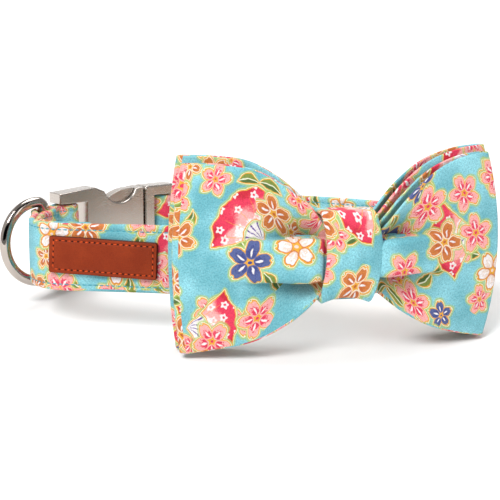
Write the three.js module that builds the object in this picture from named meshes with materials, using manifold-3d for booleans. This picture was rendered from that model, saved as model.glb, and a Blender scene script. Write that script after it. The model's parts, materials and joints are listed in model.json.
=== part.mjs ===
// A pet collar of printed cotton with a two-layer bow tie, a leather patch, a D ring and a metal
// side-release buckle. Millimetres, +Z up. The loop is laid out flat first, with its width along Z,
// and then tipped until it rests on a surface by itself.

import * as THREE from "three";
import { mergeVertices } from "three/addons/utils/BufferGeometryUtils.js";
import Module from "manifold-3d";

const wasm = await Module();
wasm.setup();

// Clearance between pieces that touch, and how far a cut runs past the piece that it opens.
const gap = 0.3;
const cutOverrun = 1;

// Strap.
const strapWidth = 25;
const strapLayer = 2.6;
const loopHalfLength = 84;
const loopFrontDepth = 40;
const loopBackDepth = 56;
const turnedTailLength = 24;
const frontTailLength = 66;
const tunnelReach = 7.5;

// Buckle, measured along its own length from the socket's outer end.
const buckleHeading = 39.8;
const buckleHalfHeight = 17.3;
const buckleThickness = 8.6;
const buckleEdge = 0.7;
const socketLength = 40.5;
const plugLength = 16.4;
const buckleMouthGap = 0.7;
const socketWindowEnd = 12.8;
const crossBarLength = 4.6;
const socketBarCentre = 5.6;
const plugBarInset = 5.4;
const barWidth = 4.2;
const barThickness = 3.2;
const barRound = 1.2;
const barEndInset = 0.5;
const cavityHalfThickness = 2.6;
const cavityDepth = 19.6;
const cavityHalfHeight = 12.2;
const recessLength = 15.2;
const mouthRimLength = 3.9;
const recessFloor = 11.4;
const armWidth = 4;
const armTopClearance = 0.4;

// D ring.
const ringWire = 4.2;
const ringInnerHeight = 26;
const ringReach = 18;
const ringCorner = 2.7;
const ringRestSwing = 36;

// Leather patch.
const patchLength = 39.5;
const patchHeight = 13.6;
const patchThickness = 1.6;
const patchCorner = 1.1;
const patchTilt = 2.3;
const patchLift = 0.5;

// Bow.
const bowLeftLength = 57;
const bowRightLength = 55.1;
const bowHeight = 67;
const rearBowHeight = 69.4;
const rearBowOverhang = 1;
const rearBowRise = 0.9;
const bowWall = 1.6;
const bowLoft = 5.4;
const bowSeparation = 9;
const bowFoldDepth = 3.4;
const bowBend = 12;
const bowLeftBulge = 2.2;
const bowRightBulge = 4.7;
const bowRoll = 1.3;
const bowSag = 1.9;
const bowLift = 6;
const knotWidth = 20;
const knotHeight = 32.6;
const knotWall = 1.8;
const knotCorner = 1.8;
const knotCrown = 1;
const keeperWall = 1.2;
const keeperWidth = 10;
const keeperClearance = 0.6;

// Densities in grams per cubic millimetre, for the centre of mass that it rests over.
const clothDensity = 0.0005;
const leatherDensity = 0.0009;
const alloyDensity = 0.0027;
const steelDensity = 0.0078;

// The line between the strap's outer layer and its turned-back tails, seen from above. x is a share
// of the loop's half length, y of its front depth where negative and of its back depth where positive.
const loopRows = [
  { x: -0.958, y: 0.054 },
  { x: -0.962, y: -0.22 },
  { x: -0.944, y: -0.51 },
  { x: -0.858, y: -0.71 },
  { x: -0.655, y: -0.805 },
  { x: -0.452, y: -0.885 },
  { x: -0.214, y: -0.955 },
  { x: 0.095, y: -1.0 },
  { x: 0.393, y: -0.965 },
  { x: 0.675, y: -0.78 },
  { x: 0.9, y: -0.5 },
  { x: 0.975, y: -0.16 },
  { x: 0.94, y: 0.07 },
  { x: 0.81, y: 0.28 },
  { x: 0.605, y: 0.482 },
  { x: 0.256, y: 0.75 },
  { x: -0.07, y: 0.945 },
];
const socketBarRow = { x: -0.876, y: 0.316 };
const ringRow = 0;

// Top edge of the socket, as shares of its length and of the buckle's half height.
const socketShoulder = { along: 0.41, height: 1.08 };
const socketRecessLip = 0.965;
const socketMouthHeight = 0.99;

// One half of a bow from the knot's edge, at 0, to its end, at 1. riseLeft and riseRight go from
// tucked under the knot to full height, spread is the space between its two panels, partLeft and
// partRight are the space between the two bows, and fold is the depth of the gathers.
const bowRows = [
  { along: 0, riseLeft: 0, riseRight: 0, spread: 0.41, partLeft: 0.49, partRight: 0.49, fold: 0.43 },
  { along: 0.1, riseLeft: 0.25, riseRight: 0.17, spread: 0.55, partLeft: 0.66, partRight: 0.66, fold: 1 },
  { along: 0.22, riseLeft: 0.5, riseRight: 0.41, spread: 0.72, partLeft: 0.74, partRight: 0.76, fold: 0.8 },
  { along: 0.45, riseLeft: 0.81, riseRight: 0.73, spread: 0.95, partLeft: 0.84, partRight: 0.86, fold: 0.25 },
  { along: 0.73, riseLeft: 0.94, riseRight: 0.92, spread: 0.85, partLeft: 0.88, partRight: 0.8, fold: 0.05 },
  { along: 1, riseLeft: 1, riseRight: 1, spread: 0.6, partLeft: 0.92, partRight: 0.64, fold: 0 },
];
const bowSteps = [0, 0.05, 0.1, 0.16, 0.22, 0.3, 0.4, 0.52, 0.64, 0.76, 0.88, 1];
const bowHeightSteps = 10;
const foldPitch = 0.84;
const foldShare = { frontOuter: 1, frontInner: 0.85, rearOuter: 0.7, rearInner: 0.4 };

const cotton = new THREE.MeshStandardMaterial({ color: 0x6cb9c9, roughness: 0.9, metalness: 0 });
const hideLeather = new THREE.MeshStandardMaterial({ color: 0xa0452a, roughness: 0.6, metalness: 0 });
const satinAlloy = new THREE.MeshStandardMaterial({ color: 0xb3aba4, roughness: 0.35, metalness: 1 });
const brightNickel = new THREE.MeshStandardMaterial({ color: 0xd0d0d0, roughness: 0.1, metalness: 1 });
const elastic = new THREE.MeshStandardMaterial({ color: 0x3f93a3, roughness: 0.9, metalness: 0 });

const radians = THREE.MathUtils.degToRad;

// Value of one column of a table between its rows.
function tableValue(rows, column, along) {
  const places = rows.map((row) => row.along);
  const values = rows.map((row) => row[column]);
  return new THREE.CubicInterpolant(places, values, 1, new Float32Array(1)).evaluate(along)[0];
}

// 1 in the middle of a hump, falling smoothly to 0 at its reach.
function hump(distance, reach) {
  return Math.abs(distance) < reach ? Math.cos((distance / reach) * (Math.PI / 2)) ** 2 : 0;
}

function solidOf(geometry) {
  const bare = geometry.clone();
  bare.deleteAttribute("normal");
  bare.deleteAttribute("uv");
  const merged = mergeVertices(bare, 1e-4);
  const mesh = new wasm.Mesh({
    numProp: 3,
    vertProperties: merged.attributes.position.array,
    triVerts: merged.index.array,
  });
  return new wasm.Manifold(mesh);
}

function geometryOf(solid) {
  const mesh = solid.getMesh();
  const geometry = new THREE.BufferGeometry();
  geometry.setAttribute("position", new THREE.BufferAttribute(Float32Array.from(mesh.vertProperties), 3));
  geometry.setIndex(new THREE.BufferAttribute(Uint32Array.from(mesh.triVerts), 1));
  return geometry;
}

// A skin through rings of points, joined in a circle or closed by a flat face at each end.
function loft(rings, inCircle) {
  const count = rings[0].length;
  const index = [];
  const last = inCircle ? rings.length : rings.length - 1;
  for (let ring = 0; ring < last; ring += 1) {
    const here = ring * count;
    const next = ((ring + 1) % rings.length) * count;
    for (let step = 0; step < count; step += 1) {
      const side = (step + 1) % count;
      index.push(here + step, here + side, next + step, here + side, next + side, next + step);
    }
  }
  if (!inCircle) {
    const end = (rings.length - 1) * count;
    for (let step = 1; step < count - 1; step += 1) {
      index.push(0, step + 1, step, end, end + step, end + step + 1);
    }
  }
  const positions = rings.flat().flatMap((point) => [point.x, point.y, point.z]);
  const geometry = new THREE.BufferGeometry();
  geometry.setAttribute("position", new THREE.Float32BufferAttribute(positions, 3));
  if (measure(positions, index).volume < 0) {
    for (let corner = 0; corner < index.length; corner += 3) {
      [index[corner], index[corner + 1]] = [index[corner + 1], index[corner]];
    }
  }
  geometry.setIndex(index);
  return geometry;
}

// Volume and centre of a closed skin.
function measure(positions, index) {
  const corners = [new THREE.Vector3(), new THREE.Vector3(), new THREE.Vector3()];
  const centre = new THREE.Vector3();
  let volume = 0;
  for (let corner = 0; corner < index.length; corner += 3) {
    corners.forEach((point, turn) => point.fromArray(positions, index[corner + turn] * 3));
    const piece = corners[0].dot(corners[1].clone().cross(corners[2])) / 6;
    volume += piece;
    corners.forEach((point) => centre.addScaledVector(point, piece / 4));
  }
  return { volume, centre: centre.divideScalar(volume) };
}

function roundedRectangle(outline, halfX, halfY, round) {
  outline.moveTo(halfX, -halfY + round);
  outline.lineTo(halfX, halfY - round);
  outline.absarc(halfX - round, halfY - round, round, 0, Math.PI / 2);
  outline.lineTo(-halfX + round, halfY);
  outline.absarc(-halfX + round, halfY - round, round, Math.PI / 2, Math.PI);
  outline.lineTo(-halfX, -halfY + round);
  outline.absarc(-halfX + round, -halfY + round, round, Math.PI, Math.PI * 1.5);
  outline.lineTo(halfX - round, -halfY);
  outline.absarc(halfX - round, -halfY + round, round, Math.PI * 1.5, Math.PI * 2);
  return outline;
}

// Route of the strap, from the fold round the socket's bar to the fold round the plug's bar.
const heading = new THREE.Vector3(Math.cos(radians(buckleHeading)), Math.sin(radians(buckleHeading)), 0);
const buckleLength = socketLength + buckleMouthGap + plugLength;
const plugBarCentre = buckleLength - plugBarInset;
const foldReach = barWidth / 2 + gap + strapLayer;

function loopPoint(row) {
  const depth = row.y < 0 ? loopFrontDepth : loopBackDepth;
  return new THREE.Vector3(row.x * loopHalfLength, row.y * depth, 0);
}

const socketBar = loopPoint(socketBarRow);
const plugBar = socketBar.clone().addScaledVector(heading, plugBarCentre - socketBarCentre);
const ringBar = loopPoint(loopRows[ringRow]);
const route = new THREE.CatmullRomCurve3(
  [
    socketBar.clone().addScaledVector(heading, foldReach),
    socketBar,
    socketBar.clone().addScaledVector(heading, -foldReach),
    ...loopRows.map(loopPoint),
    plugBar.clone().addScaledVector(heading, foldReach),
    plugBar,
    plugBar.clone().addScaledVector(heading, -foldReach),
  ],
  false,
  "centripetal",
);
route.arcLengthDivisions = 2000;
const routeLength = route.getLength();

// Distance along the route of the place nearest to a point.
function placeOf(point) {
  let best = 0;
  let nearest = Infinity;
  const steps = 4000;
  for (let step = 0; step <= steps; step += 1) {
    const away = route.getPointAt(step / steps).distanceTo(point);
    if (away < nearest) {
      nearest = away;
      best = step / steps;
    }
  }
  return best * routeLength;
}

const socketBarPlace = placeOf(socketBar);
const ringPlace = placeOf(ringBar);
const plugBarPlace = placeOf(plugBar);

// Point and directions of the strap at a distance along its route. out points away from the neck.
function strapFrame(place) {
  const share = THREE.MathUtils.clamp(place / routeLength, 0, 1);
  const tangent = route.getTangentAt(share);
  return { point: route.getPointAt(share), tangent, out: new THREE.Vector3(tangent.y, -tangent.x, 0) };
}

// Thickness of the strap outside and inside the route. It parts round each bar and ends in a fold.
function strapDepths(place) {
  const barOpening = barThickness / 2 + gap;
  const parted =
    barOpening * hump(place - socketBarPlace, tunnelReach) +
    barOpening * hump(place - plugBarPlace, tunnelReach) +
    (ringWire / 2 + gap) * hump(place - ringPlace, tunnelReach);
  const tailEnd = socketBarPlace + frontTailLength;
  const otherTailEnd = plugBarPlace - turnedTailLength;
  const tail =
    THREE.MathUtils.smoothstep(-place, -tailEnd, strapLayer - tailEnd) +
    THREE.MathUtils.smoothstep(place, otherTailEnd - strapLayer, otherTailEnd);
  const pastFold = Math.max(socketBarPlace - place, place - plugBarPlace, 0);
  const depths = { outside: strapLayer + parted, inside: strapLayer * Math.min(tail, 1) + parted };
  if (pastFold > 0) {
    const round = Math.sqrt(Math.max(1 - (pastFold / foldReach) ** 2, 0));
    const half = (strapLayer + barOpening) * round;
    return { outside: half, inside: half };
  }
  return depths;
}

function strapPlaces() {
  const close = [socketBarPlace, ringPlace, plugBarPlace];
  const fine = 1.3;
  const coarse = 3.4;
  const tip = 0.3;
  const places = [];
  for (let place = tip; place < routeLength - tip; ) {
    places.push(place);
    const near = close.some((bar) => Math.abs(place - bar) < tunnelReach + fine);
    place += near ? fine : coarse;
  }
  places.push(routeLength - tip);
  return places;
}

function strapGeometry() {
  const outer = [];
  const inner = [];
  for (const place of strapPlaces()) {
    const { point, out } = strapFrame(place);
    const { outside, inside } = strapDepths(place);
    outer.push(point.clone().addScaledVector(out, outside));
    inner.push(point.clone().addScaledVector(out, -inside));
  }
  const outline = [...outer, ...inner.reverse()].map((point) => new THREE.Vector2(point.x, point.y));
  const shape = new THREE.Shape(outline);
  const ringHole = new THREE.Path();
  ringHole.absarc(ringBar.x, ringBar.y, ringWire / 2 + gap, 0, Math.PI * 2);
  shape.holes.push(ringHole);
  for (const bar of [socketBar, plugBar]) {
    const plain = roundedRectangle(new THREE.Path(), barWidth / 2 + gap, barThickness / 2 + gap, barRound + gap);
    const points = plain.getPoints(3).map((point) => {
      return point.rotateAround(new THREE.Vector2(), radians(buckleHeading)).add(new THREE.Vector2(bar.x, bar.y));
    });
    shape.holes.push(new THREE.Path(points));
  }
  const geometry = new THREE.ExtrudeGeometry(shape, {
    depth: strapWidth,
    bevelEnabled: false,
    curveSegments: 12,
  });
  return geometry.translate(0, 0, -strapWidth / 2);
}

// A bevelled plate standing in the XZ plane, centred on Y = 0.
function plate(shape, thickness, edge) {
  const geometry = new THREE.ExtrudeGeometry(shape, {
    depth: thickness - 2 * edge,
    bevelEnabled: edge > 0,
    bevelThickness: edge,
    bevelSize: edge,
    bevelOffset: -edge,
    bevelSegments: 2,
    curveSegments: 10,
  });
  return geometry.rotateX(Math.PI / 2).translate(0, (thickness - 2 * edge) / 2, 0);
}

function block(fromX, toX, halfY, fromZ, toZ) {
  const geometry = new THREE.BoxGeometry(toX - fromX, 2 * halfY, toZ - fromZ);
  return solidOf(geometry.translate((fromX + toX) / 2, 0, (fromZ + toZ) / 2));
}

function strapBar(centre) {
  const shape = roundedRectangle(new THREE.Shape(), barWidth / 2, barThickness / 2, barRound);
  const length = 2 * (buckleHalfHeight - buckleEdge - barEndInset);
  const geometry = new THREE.ExtrudeGeometry(shape, { depth: length, bevelEnabled: false, curveSegments: 3 });
  return solidOf(geometry.translate(centre, 0, -length / 2));
}

const windowHalfHeight = strapWidth / 2 + 2 * gap;
const recessEnd = socketLength - mouthRimLength;
const recessStart = recessEnd - recessLength;

// The recess's arc, from its lip down to its floor and up again, as points along the top edge.
function recessArc() {
  const lip = buckleHalfHeight * socketRecessLip;
  const halfChord = (recessEnd - recessStart) / 2;
  const drop = lip - recessFloor;
  const radius = (halfChord ** 2 + drop ** 2) / (2 * drop);
  const middle = new THREE.Vector2((recessStart + recessEnd) / 2, recessFloor + radius);
  const sweep = Math.asin(halfChord / radius);
  const steps = 10;
  return Array.from({ length: steps + 1 }, (unused, step) => {
    const turn = -sweep + (2 * sweep * step) / steps;
    return new THREE.Vector2(middle.x + radius * Math.sin(turn), middle.y - radius * Math.cos(turn));
  });
}

function socketGeometry() {
  const top = [
    new THREE.Vector2(0, buckleHalfHeight),
    new THREE.Vector2(socketLength * socketShoulder.along, buckleHalfHeight * socketShoulder.height),
    ...recessArc(),
    new THREE.Vector2(socketLength, buckleHalfHeight * socketMouthHeight),
  ];
  const bottom = top.map((point) => new THREE.Vector2(point.x, -point.y)).reverse();
  const body = solidOf(plate(new THREE.Shape([...bottom, ...top]), buckleThickness, buckleEdge));
  const through = buckleThickness;
  const far = 2 * buckleHalfHeight;
  const window = block(-cutOverrun, socketWindowEnd, through, -windowHalfHeight, windowHalfHeight);
  const cavity = block(
    socketLength - cavityDepth,
    socketLength + cutOverrun,
    cavityHalfThickness,
    -cavityHalfHeight,
    cavityHalfHeight,
  );
  const slot = block(recessStart, recessEnd, cavityHalfThickness, -far, far);
  return geometryOf(body.subtract(window).subtract(cavity).subtract(slot).add(strapBar(socketBarCentre)));
}

// One spring arm of the plug with the thumb button that fills the socket's recess.
function plugArm(side) {
  const start = recessStart + gap;
  const end = recessEnd - gap;
  const armTop = cavityHalfHeight - armTopClearance;
  const crossBar = socketLength + buckleMouthGap + crossBarLength / 2;
  const outline = new THREE.Shape();
  outline.moveTo(start, armTop - armWidth);
  outline.lineTo(crossBar, armTop - armWidth);
  outline.lineTo(crossBar, armTop);
  outline.lineTo(end, armTop);
  outline.lineTo(end, buckleHalfHeight * socketMouthHeight - gap);
  outline.quadraticCurveTo(start + (end - start) * 0.45, buckleHalfHeight, start, armTop + gap);
  outline.closePath();
  const thickness = 2 * (cavityHalfThickness - gap);
  const arm = plate(new THREE.Shape(outline.getPoints(5)), thickness, 0);
  return side > 0 ? solidOf(arm) : solidOf(arm).mirror([0, 0, 1]);
}

function plugGeometry() {
  const start = socketLength + buckleMouthGap;
  const half = buckleHalfHeight * socketMouthHeight;
  const frame = roundedRectangle(new THREE.Shape(), plugLength / 2, half, 2 * buckleEdge);
  const body = solidOf(plate(frame, buckleThickness, buckleEdge).translate(start + plugLength / 2, 0, 0));
  const window = block(
    start + crossBarLength,
    start + plugLength + cutOverrun,
    buckleThickness,
    -windowHalfHeight,
    windowHalfHeight,
  );
  return geometryOf(body.subtract(window).add(strapBar(plugBarCentre)).add(plugArm(1)).add(plugArm(-1)));
}

// The ring's bar lies on its own Z axis and its bow reaches out along +X.
function ringGeometry() {
  const halfHeight = (ringInnerHeight + ringWire) / 2;
  const path = new THREE.Path();
  path.moveTo(0, -halfHeight + ringCorner);
  path.lineTo(0, halfHeight - ringCorner);
  path.absarc(ringCorner, halfHeight - ringCorner, ringCorner, Math.PI, Math.PI / 2, true);
  path.absellipse(ringCorner, 0, ringReach - ringCorner, halfHeight, Math.PI / 2, -Math.PI / 2, true);
  path.absarc(ringCorner, -halfHeight + ringCorner, ringCorner, -Math.PI / 2, -Math.PI, true);
  const steps = 44;
  const sides = 10;
  const centres = path.getSpacedPoints(steps).slice(0, steps);
  const rings = centres.map((centre, step) => {
    const ahead = centres[(step + 1) % steps];
    const behind = centres[(step + steps - 1) % steps];
    const along = ahead.clone().sub(behind).normalize();
    return Array.from({ length: sides }, (unused, side) => {
      const turn = (side / sides) * Math.PI * 2;
      const across = (Math.cos(turn) * ringWire) / 2;
      const deep = (Math.sin(turn) * ringWire) / 2;
      return new THREE.Vector3(centre.x + along.y * across, deep, centre.y - along.x * across);
    });
  });
  return loft(rings, true);
}

// The patch lies on the strap's outer face, a little turned on it, with its middle at the given place.
function patchGeometry(middle) {
  const half = patchLength / 2;
  const steps = 8;
  const straight = patchLength - 2 * patchCorner;
  const inside = Array.from({ length: steps + 1 }, (unused, step) => (step / steps - 0.5) * straight);
  const stations = [-half, -half + patchCorner * 0.3, ...inside, half - patchCorner * 0.3, half];
  const tilt = radians(patchTilt);
  const rings = stations.map((along) => {
    const fromEnd = Math.min(half - Math.abs(along), patchCorner);
    const cut = patchCorner - Math.sqrt(patchCorner ** 2 - (patchCorner - fromEnd) ** 2);
    const halfHeight = patchHeight / 2 - cut;
    const corner = (height, depth) => {
      const place = middle + along * Math.cos(tilt) + height * Math.sin(tilt);
      const { point, out } = strapFrame(place);
      const up = patchLift - along * Math.sin(tilt) + height * Math.cos(tilt);
      return point.addScaledVector(out, strapLayer + gap + depth).setZ(up);
    };
    return [
      corner(-halfHeight, 0),
      corner(halfHeight, 0),
      corner(halfHeight, patchThickness),
      corner(-halfHeight, patchThickness),
    ];
  });
  return loft(rings, false);
}

const knotInnerHalfHeight = knotHeight / 2 - knotWall;
const firstRow = bowRows[0];
const stackHalfDepth =
  (firstRow.partLeft * bowSeparation + firstRow.spread * bowLoft + bowWall) / 2 + firstRow.fold * bowFoldDepth;
const knotInnerHalfDepth = stackHalfDepth + gap;

// A bow is one closed band of cloth, seen from above as a flat loop, and pinched at its middle.
// X runs along it, the front is -Y, and the knot's centre is the origin.
function bowGeometry(isRear) {
  const fullHalf = (isRear ? rearBowHeight : bowHeight) / 2;
  const overhang = isRear ? rearBowOverhang : 0;
  const tucked = knotInnerHalfHeight - gap - Math.sin(radians(bowRoll)) * (knotWidth / 2);
  const lift = isRear ? rearBowRise : 0;
  const roundSteps = 3;
  const panelFold = isRear
    ? { outer: foldShare.rearOuter, inner: foldShare.rearInner }
    : { outer: foldShare.frontOuter, inner: foldShare.frontInner };

  const tuck = knotWidth / 2 + gap;
  const middleLine = (along, side) => {
    const free = Math.max(along, 0);
    const halfLength = (side < 0 ? bowLeftLength : bowRightLength) + overhang;
    const part = tableValue(bowRows, side < 0 ? "partLeft" : "partRight", free) * bowSeparation;
    const pinch = (firstRow.partLeft * bowSeparation) / 2;
    const x = along < 0 ? (along + 1) * tuck : tuck + along * (halfLength - tuck);
    const bent = Math.max(x - tuck, 0) * Math.tan(radians(bowBend));
    return new THREE.Vector2(side * x, bent - pinch + (isRear ? part : 0));
  };
  const half = [-1, -0.5, ...bowSteps].map((along) => ({ along, side: 1 }));
  const width = [...half.slice(1).map((step) => ({ ...step, side: -1 })).reverse(), ...half];
  const stations = [];
  const addPanel = (steps, face, fold) => {
    for (const { along, side } of steps) {
      const centre = middleLine(along, side);
      const free = Math.max(along, 0);
      const away = (tableValue(bowRows, "spread", free) * bowLoft) / 2;
      const shade = THREE.MathUtils.lerp(1, fold, Math.min(free / bowRows[1].along, 1));
      const plan = new THREE.Vector2(centre.x, centre.y + face * away);
      stations.push({ along: free, side, shade, plan });
    }
  };
  const addEnd = (side) => {
    const centre = middleLine(1, side);
    const radius = (tableValue(bowRows, "spread", 1) * bowLoft) / 2;
    for (let step = 1; step <= roundSteps; step += 1) {
      const turn = (Math.PI * step) / (roundSteps + 1);
      const plan = new THREE.Vector2(
        centre.x + side * radius * Math.sin(turn),
        centre.y - side * radius * Math.cos(turn),
      );
      stations.push({ along: 1, side, shade: 0, plan });
    }
  };
  addPanel(width, -1, panelFold.outer);
  addEnd(1);
  addPanel([...width].reverse(), 1, panelFold.inner);
  addEnd(-1);

  const rings = stations.map((station, step) => {
    const ahead = stations[(step + 1) % stations.length].plan;
    const behind = stations[(step + stations.length - 1) % stations.length].plan;
    const along = ahead.clone().sub(behind).normalize();
    const outward = new THREE.Vector2(along.y, -along.x);
    const rise = tableValue(bowRows, station.side < 0 ? "riseLeft" : "riseRight", station.along);
    const bulgeDepth = station.side < 0 ? bowLeftBulge : bowRightBulge;
    const halfHeight = tucked + rise * (fullHalf - tucked);
    const depth = tableValue(bowRows, "fold", station.along) * bowFoldDepth;
    const wallPoint = (share, away) => {
      const wave = Math.cos((2 * Math.PI * share) / foldPitch) * depth;
      const bulge = -station.side * bulgeDepth * share ** 2 * station.along ** 4;
      const plan = station.plan.clone().addScaledVector(outward, away);
      const turn = Math.sin(radians(bowRoll)) * plan.x;
      const height = share * halfHeight - bowSag * station.along ** 2 + turn + lift * rise;
      return new THREE.Vector3(plan.x + bulge, plan.y - wave * station.shade, height);
    };
    const shares = Array.from({ length: bowHeightSteps + 1 }, (unused, row) => -1 + (2 * row) / bowHeightSteps);
    return [
      ...shares.map((share) => wallPoint(share, bowWall / 2)),
      ...shares.reverse().map((share) => wallPoint(share, -bowWall / 2)),
    ];
  });
  return loft(rings, true);
}

// The knot is a band wrapped over both bows, open to the left and right.
function knotGeometry() {
  const outline = (halfDepth, halfHeight, round) => {
    const path = roundedRectangle(new THREE.Path(), halfDepth, halfHeight, round);
    return path.getSpacedPoints(40).slice(0, 40);
  };
  const inner = outline(knotInnerHalfDepth, knotInnerHalfHeight, knotCorner);
  const outer = outline(
    knotInnerHalfDepth + knotWall,
    knotInnerHalfHeight + knotWall,
    knotCorner + knotWall,
  );
  const across = [-1, -0.5, 0, 0.5, 1];
  const rings = inner.map((low, step) => {
    const high = outer[step];
    const front = high.x < -knotInnerHalfDepth ? 1 - (high.y / (knotHeight / 2)) ** 2 : 0;
    const outside = across.map((share) => {
      const crown = knotCrown * front * (1 - share ** 2);
      return new THREE.Vector3((share * knotWidth) / 2, high.x - crown, high.y);
    });
    const insideRow = [...across].reverse();
    const inside = insideRow.map((share) => new THREE.Vector3((share * knotWidth) / 2, low.x, low.y));
    return [...outside, ...inside];
  });
  return loft(rings, true);
}

// The keeper holds the knot on the strap: a flat loop round the strap, behind the knot.
function keeperGeometry() {
  const depth = strapLayer / 2 + keeperClearance;
  const height = strapWidth / 2 + keeperClearance;
  const shape = roundedRectangle(new THREE.Shape(), depth + keeperWall, height + keeperWall, keeperWall);
  shape.holes.push(roundedRectangle(new THREE.Path(), depth, height, gap));
  const geometry = new THREE.ExtrudeGeometry(shape, {
    depth: keeperWidth,
    bevelEnabled: false,
    curveSegments: 3,
  });
  geometry.translate(0, 0, -keeperWidth / 2);
  return geometry.rotateX(Math.PI / 2).rotateZ(Math.PI / 2);
}

function named(name, geometry, material) {
  const mesh = new THREE.Mesh(geometry, material);
  mesh.name = name;
  return mesh;
}

// Directions at the place on the strap's front where the bow is tied on, and the patch's middle.
const bowPlace = placeOf(new THREE.Vector3(loopHalfLength * 0.39, -loopFrontDepth, 0));
const patchPlace = placeOf(new THREE.Vector3(-loopHalfLength * 0.62, -loopFrontDepth * 0.82, 0));

const buckle = new THREE.Group();
buckle.rotation.z = radians(buckleHeading);
buckle.position.copy(socketBar).addScaledVector(heading, -socketBarCentre);
buckle.add(named("buckle_socket", socketGeometry(), satinAlloy));
buckle.add(named("buckle_plug", plugGeometry(), satinAlloy));

const ring = named("d_ring", ringGeometry(), brightNickel);
ring.position.copy(ringBar);
ring.rotation.z = Math.PI + radians(ringRestSwing);

const bowFrame = strapFrame(bowPlace);
const bowTurn = Math.atan2(bowFrame.tangent.y, bowFrame.tangent.x);
const keeper = named("bow_keeper", keeperGeometry(), elastic);
keeper.rotation.z = bowTurn;
keeper.position.copy(bowFrame.point).addScaledVector(bowFrame.out, strapLayer / 2);

const bow = new THREE.Group();
const bowStandOff = strapLayer + keeperClearance + keeperWall + gap + knotWall + knotInnerHalfDepth;
bow.rotation.z = bowTurn;
bow.position.copy(bowFrame.point).addScaledVector(bowFrame.out, bowStandOff).setZ(bowLift);
bow.add(named("bow_front", bowGeometry(false), cotton));
bow.add(named("bow_rear", bowGeometry(true), cotton));
bow.add(named("bow_knot", knotGeometry(), cotton));

const collar = new THREE.Group();
collar.add(named("collar_strap", strapGeometry(), cotton));
collar.add(named("leather_patch", patchGeometry(patchPlace), hideLeather));
collar.add(buckle, ring, bow, keeper);

// Points and centre of mass of everything in the group, as it stands.
function weigh(group) {
  const densities = new Map([
    [cotton, clothDensity],
    [elastic, clothDensity],
    [hideLeather, leatherDensity],
    [satinAlloy, alloyDensity],
    [brightNickel, steelDensity],
  ]);
  const points = [];
  const centre = new THREE.Vector3();
  let mass = 0;
  group.updateMatrixWorld(true);
  group.traverse((piece) => {
    if (!piece.isMesh) {
      return;
    }
    const bare = piece.geometry.clone().applyMatrix4(piece.matrixWorld);
    const positions = bare.attributes.position.array;
    const count = positions.length / 3;
    const index = bare.index ? bare.index.array : Array.from({ length: count }, (unused, corner) => corner);
    const { volume, centre: middle } = measure(positions, index);
    centre.addScaledVector(middle, volume * densities.get(piece.material));
    mass += volume * densities.get(piece.material);
    for (let corner = 0; corner < positions.length; corner += 3) {
      points.push(new THREE.Vector3().fromArray(positions, corner));
    }
  });
  return { points, centre: centre.divideScalar(mass), mass };
}

function surrounds(triangle, spot) {
  const turns = triangle.map((corner, step) => {
    const next = triangle[(step + 1) % 3];
    return (next.x - corner.x) * (spot.y - corner.y) - (next.y - corner.y) * (spot.x - corner.x);
  });
  return turns.every((turn) => turn >= 0) || turns.every((turn) => turn <= 0);
}

// Upward normal of the plane that the points stand on, under their centre of mass.
function restingNormal(points, centre) {
  const wide = 1e4;
  let feet = [0, 1, 2].map((turn) => {
    const angle = (turn * Math.PI * 2) / 3;
    return new THREE.Vector3(centre.x + wide * Math.cos(angle), centre.y + wide * Math.sin(angle), wide);
  });
  for (let pass = 0; pass < 200; pass += 1) {
    const normal = new THREE.Vector3()
      .subVectors(feet[1], feet[0])
      .cross(new THREE.Vector3().subVectors(feet[2], feet[0]))
      .normalize();
    if (normal.z < 0) {
      normal.negate();
    }
    let lowest = null;
    let depth = -1e-4;
    for (const point of points) {
      const above = new THREE.Vector3().subVectors(point, feet[0]).dot(normal);
      if (above < depth) {
        depth = above;
        lowest = point;
      }
    }
    if (!lowest) {
      return normal;
    }
    const options = feet.map((unused, out) => feet.map((foot, step) => (step === out ? lowest : foot)));
    feet = options.find((option) => surrounds(option, centre));
  }
  throw new Error("no resting plane was found");
}

// Tip the collar until it stands on its three lowest points, then set its box on the origin.
for (let turn = 0; turn < 4; turn += 1) {
  const { points, centre } = weigh(collar);
  const up = restingNormal(points, centre);
  collar.quaternion.premultiply(new THREE.Quaternion().setFromUnitVectors(up, new THREE.Vector3(0, 0, 1)));
}
collar.updateMatrixWorld(true);
const box = new THREE.Box3().setFromObject(collar, true);
const middle = box.getCenter(new THREE.Vector3());
collar.position.set(-middle.x, -middle.y, -box.min.z);

const model = new THREE.Group();
model.add(collar);
model.updateMatrixWorld(true);

export default model;
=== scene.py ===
"""Dresses the pet bow tie collar: printed cotton, a leather patch, a metal buckle and a D ring."""

import json
import logging
import math
from dataclasses import dataclass, field
from enum import Enum

import bmesh
import bpy
import numpy as np
from mathutils import Matrix, Vector, noise


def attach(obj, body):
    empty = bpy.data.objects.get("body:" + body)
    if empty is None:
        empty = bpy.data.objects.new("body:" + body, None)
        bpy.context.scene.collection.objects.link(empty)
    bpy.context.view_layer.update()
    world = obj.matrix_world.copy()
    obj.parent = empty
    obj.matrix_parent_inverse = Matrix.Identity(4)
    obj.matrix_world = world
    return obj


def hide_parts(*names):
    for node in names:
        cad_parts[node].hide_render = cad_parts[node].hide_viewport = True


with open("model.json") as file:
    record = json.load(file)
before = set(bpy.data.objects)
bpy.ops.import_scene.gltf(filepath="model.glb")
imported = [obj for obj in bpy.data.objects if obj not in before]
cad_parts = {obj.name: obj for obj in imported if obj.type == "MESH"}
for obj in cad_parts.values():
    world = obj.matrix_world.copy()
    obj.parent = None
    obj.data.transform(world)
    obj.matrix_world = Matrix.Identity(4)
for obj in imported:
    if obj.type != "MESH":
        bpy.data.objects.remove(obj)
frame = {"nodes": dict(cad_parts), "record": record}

logging.basicConfig(level=logging.INFO, format="%(message)s")
log = logging.getLogger("collar")

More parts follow.
